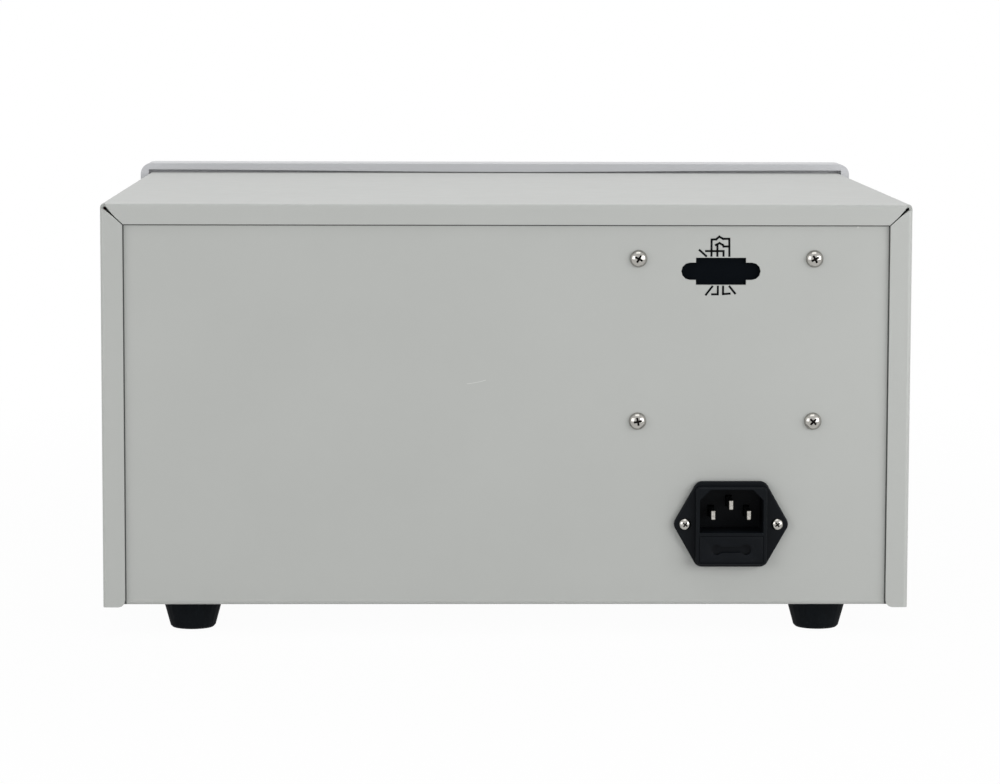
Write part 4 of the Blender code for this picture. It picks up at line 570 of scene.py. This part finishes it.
def spun_aluminium():
    """Spun aluminium discs in the knobs, with a fine grain that draws the light out."""
    shade = ("shade", 3 * MM, 2.0, "#CDCFD1", "#BEC0C3")
    relief = ("relief", 0.3 * MM, 1.0, 0.008 * MM)
    return finished("spun_aluminium", "#C8CACC", 0.28, {"Metallic": 1.0}, shade, relief)


def turned_brass():
    """Turned brass contact deep in a test socket: a dull gold with fine turning marks."""
    shade = ("shade", 2 * MM, 2.0, "#B8954F", "#9C7A3C")
    relief = ("relief", 0.3 * MM, 1.0, 0.01 * MM)
    return finished("turned_brass", "#B08D4A", 0.35, {"Metallic": 1.0}, shade, relief)


BEZEL_ABS = moulded_abs()
NYLON = black_nylon()
ABS = black_abs()
NICKEL = nickel_plate()
ZINC = zinc_plate()
BRASS = turned_brass()
BLACK_INK = screen_ink("black_screen_ink", "#060708", "#0D0E10")
WHITE_INK = screen_ink("white_screen_ink", "#E8E9E6", "#DCDDDA")
UNLIT = screen_ink("unlit_segment", "#B8B2AA", "#ACA69E")
SPUN = spun_aluminium()


def dress_nodes():
    """Every CAD node gets the finish of the real piece."""
    dress(mitred_powder_coat(), "cover")
    dress(scratched_powder_coat(), "chassis")
    dress(BEZEL_ABS, "front_bezel")
    dress(front_film(), "front_panel")
    dress(smoked_acrylic(), "display_window")
    dress(neoprene(), *[name for name in NODES if name.startswith("foot_")])
    dress(NYLON, "inlet_housing", "fuse_drawer")
    dress(worn_nickel(), "inlet_pin_live", "inlet_pin_neutral", "inlet_pin_earth")
    dress(NICKEL, "fuse")
    dress(NICKEL, *[name for name in NODES if "screw" in name or name.startswith("standoff_")])
    dress(NICKEL, "start_button_bezel", "reset_button_bezel")
    dress(insulating_film(), "insulating_sheet")
    for name in ("control_board", "interface_board"):
        low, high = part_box(name)
        front = low.y + KEY_SWITCH_DEPTH if name == "control_board" else high.y - BOARD_THICKNESS
        rear = front + BOARD_THICKNESS
        dress(circuit_board(name + "_fr4", front - BOARD_EDGE, rear + BOARD_EDGE), name)
    dress(ABS, "voltage_display", "current_display", "timer_display")
    dress(ABS, "power_switch_housing", "power_rocker", "test_socket_low")
    dress(ABS, "limit_knob", "voltage_knob")
    dress(key_plastic(), "range_key_low", "range_key_mid", "range_key_high")
    dress(gloss_cap("green_cap", "#1F8A3C", "#1A7A34"), "start_button")
    dress(gloss_cap("red_cap", "#B3201C", "#9C1A17"), "reset_button")
    dress(gloss_cap("red_socket", "#A81D1A", "#951916"), "test_socket_high")
    dress(lens("amber_lens", "#E8A21A", "#C27A0A"), "lamp_testing")
    dress(lens("green_lens", "#1FA04A", "#137A34"), "lamp_pass")
    dress(lens("red_lens", "#C4241E", "#981712"), "lamp_fail")
    dress(ZINC, "limit_shaft", "limit_potentiometer", "brush_shaft")
    dress(ZINC, "variac_bracket", "transformer_strap")
    dress(lamination_steel(), "transformer_core")
    dress(enamelled_wire(), "variac_core")
    dress(coil_tape(), "transformer_coil")


# Bezel

# Its rear rim: how far it reaches over the cover, its room round it, how much it bows down to it
# at the top, its rounded edge, and the cuts along its opening that let it bow
RIM_REACH = 2.5 * MM
RIM_ROOM = 0.4 * MM
RIM_BOW = 0.9 * MM
RIM_EDGE = 0.3 * MM
RIM_CUTS = 31

# The bezel's own gap to the cover, its rounded rear edge and its rounded corners
BEZEL_GAP = 1.2 * MM
BEZEL_ROUND = 1.2 * MM
BEZEL_CORNER = 4.8 * MM
CORNER_SEGMENTS = 8


def bezel_rim():
    """The bezel's thin rear rim, which reaches over the cover's edge and bows down to it."""
    low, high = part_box("front_bezel")
    start_y = COVER_LOW.y - BEZEL_GAP - BEZEL_ROUND
    end_y = COVER_LOW.y + RIM_REACH
    middle_x = (low.x + high.x) / 2
    middle_z = (low.z + high.z) / 2
    bpy.ops.mesh.primitive_plane_add(
        size=1, location=(middle_x, end_y, middle_z), rotation=(math.pi / 2, 0, 0)
    )
    rim = bpy.context.active_object
    rim.scale = (high.x - low.x, high.z - low.z, 1)
    bpy.ops.object.transform_apply(location=False, rotation=False, scale=True)
    bpy.ops.object.mode_set(mode="EDIT")
    bpy.ops.mesh.select_all(action="SELECT")
    bpy.ops.mesh.bevel(offset=BEZEL_CORNER, segments=CORNER_SEGMENTS, affect="VERTICES")
    bpy.ops.mesh.select_all(action="SELECT")
    bpy.ops.mesh.extrude_region_move(TRANSFORM_OT_translate={"value": (0, start_y - end_y, 0)})
    bpy.ops.mesh.select_all(action="SELECT")
    bpy.ops.mesh.normals_make_consistent(inside=False)
    bpy.ops.object.mode_set(mode="OBJECT")
    cover_top = COVER_HIGH.z + RIM_ROOM + RIM_BOW
    cover_foot = COVER_LOW.z - RIM_ROOM
    width = COVER_HIGH.x - COVER_LOW.x + 2 * RIM_ROOM
    opening = bar(
        (width, 4 * (end_y - start_y), cover_top - cover_foot),
        (middle_x, end_y, (cover_top + cover_foot) / 2),
    )
    bpy.ops.object.mode_set(mode="EDIT")
    bpy.ops.mesh.select_all(action="SELECT")
    bpy.ops.mesh.subdivide(number_cuts=RIM_CUTS)
    bpy.ops.object.mode_set(mode="OBJECT")
    near = width / (RIM_CUTS + 1) / 2
    pick(opening, lambda place: place.z > cover_top - MM and abs(place.x - middle_x) < near)
    bpy.ops.transform.translate(
        value=(0, 0, -RIM_BOW),
        use_proportional_edit=True,
        proportional_edit_falloff="SMOOTH",
        proportional_size=width / 2,
    )
    bpy.ops.object.mode_set(mode="OBJECT")
    cut_by(rim, opening)
    soften(rim, RIM_EDGE)
    settle(rim, "bezel_rear_rim", BEZEL_ABS, "case")


# Mains inlet

# Fuse drawer: how much wider it is than its solid to each side, its rounded edges, the room round
# the fuse, and the finger pull, a channel between two round ends
DRAWER_SPREAD = 0.22 * MM
DRAWER_EDGE = 0.3 * MM
FUSE_ROOM = 0.3 * MM
PULL_END = 2.1 * MM
PULL_RUN = 11.4 * MM
PULL_HEIGHT = 2.4 * MM
PULL_DEPTH = 2.0 * MM
PULL_EDGE = 0.12 * MM


def drawer():
    """The fuse drawer, closely fitted in its pocket, with its finger pull and its fuse trough."""
    low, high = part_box("fuse_drawer")
    centre = (low + high) / 2
    size = high - low
    fuse_low, fuse_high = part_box("fuse")
    fuse = (fuse_low + fuse_high) / 2
    radius = (fuse_high.z - fuse_low.z) / 2 + FUSE_ROOM
    length = fuse_high.x - fuse_low.x + 2 * FUSE_ROOM
    body = bar((size.x + 2 * DRAWER_SPREAD, size.y, size.z + 2 * DRAWER_SPREAD), centre)
    soften(body, DRAWER_EDGE, segments=3)
    cut_by(body, round_bar(radius, length, fuse, (0, math.pi / 2, 0)))
    cut_by(body, bar((length, 2 * radius, size.z), fuse + Vector((0, 0, size.z / 2))))
    for side in (-1, 1):
        end = (centre.x + side * PULL_RUN / 2, high.y, centre.z)
        cut_by(body, round_bar(PULL_END, 2 * PULL_DEPTH, end))
    channel = (centre.x, high.y, centre.z)
    cut_by(body, bar((PULL_RUN, 2 * PULL_DEPTH, PULL_HEIGHT), channel))
    soften(body, PULL_EDGE)
    settle(body, "fuse_drawer_body", NYLON, "fuse_drawer")
    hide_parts("fuse_drawer")


# Screws

# Cross recess: its span and its arms in shares of the head's radius, its cutter's height in shares
# of the head's, and how far it narrows below
RECESS_SPAN = 1.3
RECESS_ARM = 0.32
RECESS_HEIGHT = 1.5
RECESS_TAPER = 0.5

# The head's rounded edge and the shank in shares of its radius, the shank's length, and the share
# of the head's height under which nothing is recess
HEAD_EDGE = 0.03
SHANK_SHARE = 0.45
SHANK_LENGTH = 2 * MM
HEAD_FOOT = 0.1


def pan_head(radius, height):
    """A pan-head screw with a cross recess, its seat on the origin and its head up."""
    bpy.ops.mesh.primitive_uv_sphere_add(segments=48, ring_count=24, radius=1)
    head = bpy.context.active_object
    head.scale = (radius, radius, height)
    bpy.ops.object.transform_apply(scale=True)
    bpy.ops.object.mode_set(mode="EDIT")
    bpy.ops.mesh.select_all(action="SELECT")
    bpy.ops.mesh.bisect(plane_co=(0, 0, 0), plane_no=(0, 0, 1), use_fill=True, clear_inner=True)
    bpy.ops.mesh.inset(thickness=radius - radius * SHANK_SHARE)
    bpy.ops.mesh.extrude_region_move(TRANSFORM_OT_translate={"value": (0, 0, -SHANK_LENGTH)})
    bpy.ops.object.mode_set(mode="OBJECT")
    recess = (RECESS_SPAN * radius, RECESS_ARM * radius, RECESS_HEIGHT * height)
    for turn in (0, math.pi / 2):
        arm = bar(recess, (0, 0, height), (0, 0, turn))
        pick(arm, lambda place: place.z < height)
        taper = (RECESS_TAPER, RECESS_TAPER, 1)
        bpy.ops.transform.resize(value=taper, center_override=(0, 0, 0))
        bpy.ops.object.mode_set(mode="OBJECT")
        cut_by(head, arm)
    soften(head, HEAD_EDGE * radius, angle=35)
    # How deep each point lies inside the head, which sets the painted shade of the recess
    depth = head.data.attributes.new("recess_depth", "FLOAT", "POINT")
    for vertex, value in zip(head.data.vertices, depth.data):
        reach = (vertex.co.xy.length / radius) ** 2 + (vertex.co.z / height) ** 2
        value.value = max(1.0 - reach, 0.0) if vertex.co.z > HEAD_FOOT * height else 0.0
    return head


REARWARD = Matrix.Rotation(-math.pi / 2, 4, "X")
LEFTWARD = Matrix.Rotation(-math.pi / 2, 4, "Y")
RIGHTWARD = Matrix.Rotation(math.pi / 2, 4, "Y")

# Turn of each screw's cross as it was left by the driver, in degrees
SCREW_TURNS = {
    "rear_screw_upper_left": 28,
    "rear_screw_upper_right": 61,
    "rear_screw_lower_left": 47,
    "rear_screw_lower_right": 12,
    "inlet_screw_left": 38,
    "inlet_screw_right": 52,
    "side_screw_front_left": 15,
    "side_screw_front_right": 70,
    "side_screw_rear_left": 33,
    "side_screw_rear_right": 5,
}


def screws():
    """Detailed screws in the places of the CAD ones."""
    patterns = {}
    for name, turn in SCREW_TURNS.items():
        low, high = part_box(name)
        point = (low + high) / 2
        radius = (high.z - low.z) / 2
        kind = name.split("_")[0]
        if kind == "side":
            facing = RIGHTWARD if point.x > 0 else LEFTWARD
            point.x = COVER_HIGH.x if point.x > 0 else COVER_LOW.x
            height = max(high.x - COVER_HIGH.x, COVER_LOW.x - low.x)
        else:
            facing = REARWARD
            point.y = REAR_FACE_Y if kind == "rear" else INLET_FLANGE_Y
            height = high.y - point.y
        if kind not in patterns:
            patterns[kind] = pan_head(radius, height)
        turned = Matrix.Rotation(math.radians(turn), 4, "Z")
        made = copy_of(patterns[kind], Matrix.Translation(point) @ facing @ turned)
        settle(made, name + "_head", NICKEL, "case")
        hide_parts(name)
    for pattern in patterns.values():
        bpy.data.objects.remove(pattern)


# Printing


def polyline(points, width, y):
    """Printed lines on an upright face through these places, each across and up."""
    lines = []
    for start, end in zip(points, points[1:]):
        run = Vector((end[0] - start[0], end[1] - start[1]))
        middle = ((start[0] + end[0]) / 2, y, (start[1] + end[1]) / 2)
        lean = math.atan2(run.y, run.x)
        lines.append(bar((run.length + width, INK, width), middle, (0, -lean, 0)))
    return lines


def figure(text, size, across, up):
    """A printed figure on the front panel, centred on its place."""
    bpy.ops.object.text_add(location=(across, PRINT_Y, up), rotation=(math.pi / 2, 0, 0))
    obj = bpy.context.active_object
    obj.data.body = text
    obj.data.size = size
    obj.data.align_x = "CENTER"
    obj.data.align_y = "CENTER"
    obj.data.extrude = INK / 2
    obj.data.resolution_u = 6
    select_only(obj)
    bpy.ops.object.convert(target="MESH")
    return bpy.context.active_object


# Leader lines round the rear port, across to the right seen from the rear and up from the
# port's centre, in millimetres
PORT_LINES = (
    ((-3.8, 6.1), (-3.8, 12.4), (-2.0, 12.5), (-0.8, 13.5), (0.7, 12.7), (3.1, 12.7), (3.2, 6.1)),
    ((-2.1, 10.3), (-0.7, 11.0), (0.6, 10.3), (0.9, 9.7), (3.1, 9.7)),
    ((-1.5, 10.4), (-1.5, 6.1)),
    ((-5.9, 7.9), (0.9, 7.9), (0.9, 6.1)),
    ((-8.4, 8.2), (-5.9, 6.0)),
    ((-3.4, -6.0), (-5.8, -9.1)),
    ((-1.2, -6.0), (-1.2, -9.0), (-3.4, -9.0)),
    ((0.85, -6.0), (0.85, -8.9), (3.4, -8.7)),
    ((3.4, -6.0), (5.5, -8.6)),
)
PORT_LINE_WIDTH = 0.82 * MM


def port_print():
    """The black leader lines printed round the port."""
    pieces = []
    for line in PORT_LINES:
        points = [(PORT_CENTRE.x - across * MM, PORT_CENTRE.z + up * MM) for across, up in line]
        pieces += polyline(points, PORT_LINE_WIDTH, REAR_FACE_Y + INK_LIFT + INK / 2)
    settle(joined(pieces), "port_leader_lines", BLACK_INK, "case")


DIAL_STEPS = 50
STEPS_PER_FIGURE = 5
MAIN_LINE = 0.4 * MM
MINOR_LINE = 0.22 * MM
MINOR_SHARE = 0.55


def dial_print(name, inner, tick, figure_radius, size, every):
    """The scale printed round a knob: ticks from one stop to the other, and its figures.

    Where every is above one, only each such figure is printed, and the ticks between the main
    ones are left out.
    """
    x, _, z = JOINTS[name + "_turn"]["pos_m"]
    middle = Vector((x, z))
    pieces = []
    for step in range(0, DIAL_STEPS + 1, 1 if every == 1 else STEPS_PER_FIGURE):
        angle = math.radians(DIAL_REST[name] + DIAL_TRAVEL[name] * step / DIAL_STEPS)
        toward = Vector((math.sin(angle), math.cos(angle)))
        main = step % STEPS_PER_FIGURE == 0
        reach = tick if main else tick * MINOR_SHARE
        ends = (middle + toward * inner, middle + toward * (inner + reach))
        pieces += polyline(ends, MAIN_LINE if main else MINOR_LINE, PRINT_Y)
        value = step // STEPS_PER_FIGURE
        if main and value % every == 0:
            pieces.append(figure(str(value), size, *(middle + toward * figure_radius)))
    settle(joined(pieces), name + "_scale", BLACK_INK, "case")


def printed_frame(name, low, high, away, width):
    """A printed line round a rectangle of the panel."""
    left = low.x - away
    right = high.x + away
    foot = low.z - away
    top = high.z + away
    corners = [(left, foot), (right, foot), (right, top), (left, top), (left, foot)]
    settle(joined(polyline(corners, width, PRINT_Y)), name, BLACK_INK, "case")


def panel_print():
    """Dial scales, the figures over the range keys, and the lines round the panel and window."""
    wide = {"inner": 25.5 * MM, "tick": 3.6 * MM, "figure_radius": 32.5 * MM, "size": 5.0 * MM}
    small = {"inner": 13.6 * MM, "tick": 2.2 * MM, "figure_radius": 18.4 * MM, "size": 3.4 * MM}
    dial_print("voltage", every=1, **wide)
    dial_print("limit", every=5, **small)
    figure_size = 3.6 * MM
    figure_rise = 3.2 * MM
    pieces = []
    for name, text in (("range_key_low", "2"), ("range_key_mid", "10"), ("range_key_high", "20")):
        low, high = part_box(name)
        pieces.append(figure(text, figure_size, (low.x + high.x) / 2, high.z + figure_rise))
    settle(joined(pieces), "range_figures", BLACK_INK, "case")
    printed_frame("panel_hairline", PANEL_LOW, PANEL_HIGH, away=-7.0 * MM, width=0.35 * MM)
    printed_frame("window_border", WINDOW_LOW, WINDOW_HIGH, away=1.2 * MM, width=1.6 * MM)


# Digits of the displays

DIGITS = 4
DIGIT_HEIGHT = 14.0 * MM
DIGIT_WIDTH = 7.6 * MM
SEGMENT_WIDTH = 1.5 * MM
SEGMENT_LENGTH = DIGIT_HEIGHT / 2 - 0.4 * MM
DIGIT_PITCH = 12.0 * MM
DIGIT_LEAN = math.radians(8.0)
POINT_GAP = 2.0 * MM
POINT_RADIUS = 0.8 * MM


def segment():
    """One segment of a digit: a flat bar with pointed ends."""
    piece = bar((SEGMENT_LENGTH, 2 * INK, SEGMENT_WIDTH), (0, 0, 0))
    bpy.ops.object.mode_set(mode="EDIT")
    bpy.ops.mesh.select_all(action="SELECT")
    bpy.ops.mesh.bisect(plane_co=(0, 0, 0), plane_no=(0, 0, 1))
    bpy.ops.object.mode_set(mode="OBJECT")
    pick(piece, lambda place: abs(place.z) > SEGMENT_WIDTH / 4)
    taper = (SEGMENT_LENGTH - SEGMENT_WIDTH) / SEGMENT_LENGTH
    bpy.ops.transform.resize(value=(taper, 1, 1), center_override=(0, 0, 0))
    bpy.ops.object.mode_set(mode="OBJECT")
    return piece


def digits():
    """Four unlit digits with their points on each display, just behind the window."""
    pattern = segment()
    quarter = DIGIT_HEIGHT / 4
    slant = math.tan(DIGIT_LEAN)
    upright = Matrix.Rotation(DIGIT_LEAN - math.pi / 2, 4, "Y")
    level = Matrix.Identity(4)
    places = [(0, 2 * quarter, level), (0, 0, level), (0, -2 * quarter, level)]
    for side in (-DIGIT_WIDTH / 2, DIGIT_WIDTH / 2):
        places += [(side, quarter, upright), (side, -quarter, upright)]
    for name in ("voltage_display", "current_display", "timer_display"):
        low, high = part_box(name)
        centre = (low + high) / 2
        y = low.y - INK_LIFT - INK
        pieces = []
        for index in range(DIGITS):
            digit_x = centre.x + (index - (DIGITS - 1) / 2) * DIGIT_PITCH
            for across, up, turn in places:
                point = Vector((digit_x + across + up * slant, y, centre.z + up))
                pieces.append(copy_of(pattern, Matrix.Translation(point) @ turn))
            dot_x = digit_x + DIGIT_WIDTH / 2 + POINT_GAP - 2 * quarter * slant
            dot = (dot_x, y, centre.z - 2 * quarter)
            pieces.append(round_bar(POINT_RADIUS, 2 * INK, dot, vertices=16))
        settle(joined(pieces), name + "_digits", UNLIT, "case")
    bpy.data.objects.remove(pattern)


# Controls

# Knobs: the grip's share of the radius, the skirt's height, and their rounded edges
GRIP_SHARE = 0.82
GRIP_EDGE = 0.4 * MM
SKIRT = 3.5 * MM
SKIRT_EDGE = 0.7 * MM

# Flutes round the grip, drawn in some steps each
FLUTES = 12
STEPS_PER_FLUTE = 8
FLUTE_DEPTH = 1.0 * MM

# The disc let into the grip: its share of the radius, its thickness, its room round it, how far it
# lies under the grip's face, and its edge
DISC_SHARE = 0.74
DISH = 0.6 * MM
DISC_ROOM = 0.15 * MM
DISC_DROP = 0.2 * MM
DISC_EDGE = 0.12 * MM

# What the pointer leaves free at its inner and outer end, on the grip and on the skirt
GRIP_MARGINS = (0.5 * MM, 0.7 * MM)
SKIRT_MARGINS = (0.3 * MM, 0.9 * MM)


def knob(name, pointer_width):
    """A knob in two turned steps: a bevelled skirt and a fluted grip with a spun disc let in."""
    node = name + "_knob"
    body = name + "_control"
    low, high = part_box(node)
    x, _, z = JOINTS[name + "_turn"]["pos_m"]
    radius = (high.z - low.z) / 2
    grip = radius * GRIP_SHARE
    grip_rear = high.y - SKIRT / 2
    middle_y = (low.y + grip_rear) / 2
    count = FLUTES * STEPS_PER_FLUTE
    stem = round_bar(grip, grip_rear - low.y, (x, middle_y, z), vertices=count)
    for phase in range(1, STEPS_PER_FLUTE):
        shrink = FLUTE_DEPTH / grip * (0.5 - 0.5 * math.cos(2 * math.pi * phase / STEPS_PER_FLUTE))

        def on_ridge(place):
            step = math.atan2(place.x - x, place.z - z) / (2 * math.pi / count)
            return round(step) % STEPS_PER_FLUTE == phase

        pick(stem, on_ridge)
        slimmer = (1 - shrink, 1, 1 - shrink)
        bpy.ops.transform.resize(value=slimmer, center_override=(x, middle_y, z))
        bpy.ops.object.mode_set(mode="OBJECT")
    disc_radius = grip * DISC_SHARE
    cut_by(stem, round_bar(disc_radius, 2 * DISH, (x, low.y, z), vertices=96))
    soften(stem, GRIP_EDGE, segments=3)
    skirt = round_bar(radius, SKIRT, (x, high.y - SKIRT / 2, z), vertices=96)
    soften(skirt, SKIRT_EDGE, segments=3)
    shell = settle(joined([stem, skirt]), node + "_shell", ABS, body)
    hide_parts(node)
    disc_centre = (x, low.y + DISC_DROP + DISH / 2, z)
    disc = round_bar(disc_radius - DISC_ROOM, DISH, disc_centre, vertices=96)
    soften(disc, DISC_EDGE, angle=40)
    settle(disc, node + "_disc", SPUN, body)
    angle = math.radians(DIAL_REST[name])
    marks = []
    for start, end, face in (
        (disc_radius + GRIP_MARGINS[0], grip - GRIP_MARGINS[1], low.y),
        (grip + SKIRT_MARGINS[0], radius - SKIRT_MARGINS[1], high.y - SKIRT),
    ):
        away = (start + end) / 2
        at = (x + away * math.sin(angle), face - INK_LIFT, z + away * math.cos(angle))
        marks.append(bar((pointer_width, 2 * INK, end - start), at, (0, angle, 0)))
    settle(joined(marks), node + "_pointer", WHITE_INK, body)


# Rocker: its tilt at rest, and the valley and the end of its upper face, measured along the depth
# and up from its axle
ROCKER_TILT = math.radians(11.0)
ROCKER_VALLEY = Vector((-3.4, 0.0)) * MM
ROCKER_END = Vector((-6.4, 10.74)) * MM
LINE_MARK = (0.9 * MM, 2 * INK, 4.6 * MM)
RING_RADIUS = 2.3 * MM
RING_HOLE = 1.5 * MM


def rocker_marks():
    """The line and the ring printed in white on the rocker's two faces."""
    axle = Vector(JOINTS["power_rocker_tilt"]["pos_m"])
    pieces = []
    for side in (1, -1):
        end = Vector((ROCKER_END.x, side * ROCKER_END.y))
        along, up = (ROCKER_VALLEY + end) / 2
        run = end - ROCKER_VALLEY
        lean = ROCKER_TILT - math.atan2(run.x * side, run.y * side)
        y = along * math.cos(ROCKER_TILT) - up * math.sin(ROCKER_TILT)
        z = along * math.sin(ROCKER_TILT) + up * math.cos(ROCKER_TILT)
        outward = Vector((0, -math.cos(lean), -math.sin(lean)))
        place = axle + Vector((0, y, z)) + outward * (INK_LIFT + INK)
        if side == 1:
            pieces.append(bar(LINE_MARK, place, (lean, 0, 0)))
        else:
            turn = (math.pi / 2 + lean, 0, 0)
            ring = round_bar(RING_RADIUS, 2 * INK, place, turn)
            cut_by(ring, round_bar(RING_HOLE, 4 * MM, place, turn))
            pieces.append(ring)
    settle(joined(pieces), "rocker_marks", WHITE_INK, "power_rocker")


# Contact sleeves: their size, their bore, what is left at its bottom, how far they stand before
# the socket's rear end, and their edges
CONTACT_LENGTH = 15.0 * MM
CONTACT_RADIUS = 3.6 * MM
CONTACT_BORE = 2.1 * MM
CONTACT_BOTTOM = 1.4 * MM
CONTACT_SETBACK = 2.6 * MM
CONTACT_EDGE = 0.3 * MM


def socket_contacts():
    """A turned brass sleeve at the bottom of each test socket."""
    for name in ("test_socket_high", "test_socket_low"):
        low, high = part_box(name)
        middle = (low + high) / 2
        rear = high.y - CONTACT_SETBACK
        centre = (middle.x, rear - CONTACT_LENGTH / 2, middle.z)
        sleeve = round_bar(CONTACT_RADIUS, CONTACT_LENGTH, centre)
        bore_y = rear - CONTACT_LENGTH - CONTACT_BOTTOM
        cut_by(sleeve, round_bar(CONTACT_BORE, 2 * CONTACT_LENGTH, (middle.x, bore_y, middle.z)))
        soften(sleeve, CONTACT_EDGE)
        settle(sleeve, name + "_contact", BRASS, "case")


dress_nodes()
bezel_rim()
drawer()
screws()
port_print()
panel_print()
digits()
knob("voltage", 1.4 * MM)
knob("limit", 1.0 * MM)
rocker_marks()
socket_contacts()


# Studio

# Floor: its size, how far it lies under the feet, how white it is near the object, and between
# which distances it runs out to full white
FLOOR_SIZE = 60.0
FLOOR_DROP = 0.2 * MM
FLOOR_WHITE = 0.97
PALE_TO = 0.3
WHITE_FROM = 0.75

# Strength of the even fill from all sides, and the point that the lamps look at
AMBIENT = 0.32
LAMP_TARGET = Vector((0, 0, 0.09))


def seen_background(tree):
    """One for the rays that show the background: the camera's, and those of gloss and glass."""
    seen = add(tree, "LightPath")
    links = {0: seen.outputs["Is Camera Ray"], 1: seen.outputs["Is Glossy Ray"]}
    either = add(tree, "Math", None, links, operation="MAXIMUM").outputs[0]
    links = {0: either, 1: seen.outputs["Is Transmission Ray"]}
    return add(tree, "Math", None, links, operation="MAXIMUM").outputs[0]


def floor():
    """A pale floor that runs out to the white of the backdrop, and keeps the soft shadow."""
    bpy.ops.mesh.primitive_plane_add(size=FLOOR_SIZE, location=(0, 0, -FLOOR_DROP))
    obj = bpy.context.active_object
    obj.name = "floor"
    made = bpy.data.materials.new("white_floor")
    made.use_nodes = True
    tree = made.node_tree
    tree.nodes.clear()
    place = add(tree, "TexCoord").outputs["Object"]
    away = add(tree, "VectorMath", None, {0: place}, operation="LENGTH").outputs["Value"]
    reach = {"From Min": PALE_TO, "From Max": WHITE_FROM, "To Min": FLOOR_WHITE, "To Max": 1.0}
    fade = add(tree, "MapRange", reach, {"Value": away}).outputs["Result"]
    links = {0: fade, 1: seen_background(tree)}
    share = add(tree, "Math", None, links, operation="MULTIPLY").outputs[0]
    diffuse = add(tree, "BsdfDiffuse", {"Color": linear("#F2F2F2")})
    glow = add(tree, "Emission", {"Color": (1, 1, 1, 1), "Strength": 1.0})
    mix = add(tree, "MixShader", None, {0: share, 1: diffuse.outputs[0], 2: glow.outputs[0]})
    add(tree, "OutputMaterial", None, {"Surface": mix.outputs[0]})
    obj.data.materials.append(made)


def lamps():
    """Two soft boxes at the sides of the camera, one over the case and one before its front.

    Each row has a lamp's name, place, size and power.
    """
    rows = (
        ("right_box", (-0.95, 0.85, 0.36), (0.9, 0.7), 7.2),
        ("left_box", (1.0, 0.85, 0.36), (0.9, 0.7), 4.6),
        ("top_box", (0.0, 0.5, 1.7), (1.1, 1.1), 5.0),
        ("front_box", (0.0, -1.3, 1.6), (1.2, 1.2), 9.0),
    )
    for name, place, size, power in rows:
        lamp = bpy.data.lights.new(name, "AREA")
        lamp.shape = "RECTANGLE"
        lamp.size, lamp.size_y = size
        lamp.energy = power
        obj = bpy.data.objects.new(name, lamp)
        obj.location = place
        toward = LAMP_TARGET - Vector(place)
        obj.rotation_euler = toward.to_track_quat("-Z", "Y").to_euler()
        bpy.context.scene.collection.objects.link(obj)


def backdrop():
    """White where it is seen, also in gloss and through glass, and an even fill for the rest."""
    world = bpy.data.worlds.new("white_studio")
    world.use_nodes = True
    bpy.context.scene.world = world
    tree = world.node_tree
    tree.nodes.clear()
    level = add(tree, "Math", {1: AMBIENT}, {0: seen_background(tree)}, operation="MAXIMUM")
    light = add(tree, "Background", {"Color": (1, 1, 1, 1)}, {"Strength": level.outputs[0]})
    add(tree, "OutputWorld", None, {"Surface": light.outputs[0]})


def camera():
    """Stands the camera where the photograph was taken from."""
    turn = (
        Matrix.Rotation(math.radians(ROLL), 3, "Z")
        @ Matrix.Rotation(math.radians(YAW), 3, "Y")
        @ Matrix.Rotation(math.radians(PITCH), 3, "X")
    )
    to_object = Matrix(((-1, 0, 0), (0, 0, -1), (0, -1, 0))) @ turn.transposed()
    axes = [to_object @ Vector(axis) for axis in ((1, 0, 0), (0, -1, 0), (0, 0, -1))]
    data = bpy.data.cameras.new("camera")
    data.sensor_width = SENSOR
    data.lens = FOCAL_PIXELS / IMAGE_WIDTH * SENSOR
    obj = bpy.data.objects.new("camera", data)
    matrix = Matrix(axes).transposed().to_4x4()
    matrix.translation = Vector((0, COVER_HIGH.y, COVER_HIGH.z)) - to_object @ EDGE_IN_VIEW
    obj.matrix_world = matrix
    bpy.context.scene.collection.objects.link(obj)
    bpy.context.scene.camera = obj


floor()
lamps()
backdrop()
camera()
bpy.context.scene.view_settings.view_transform = "Standard"
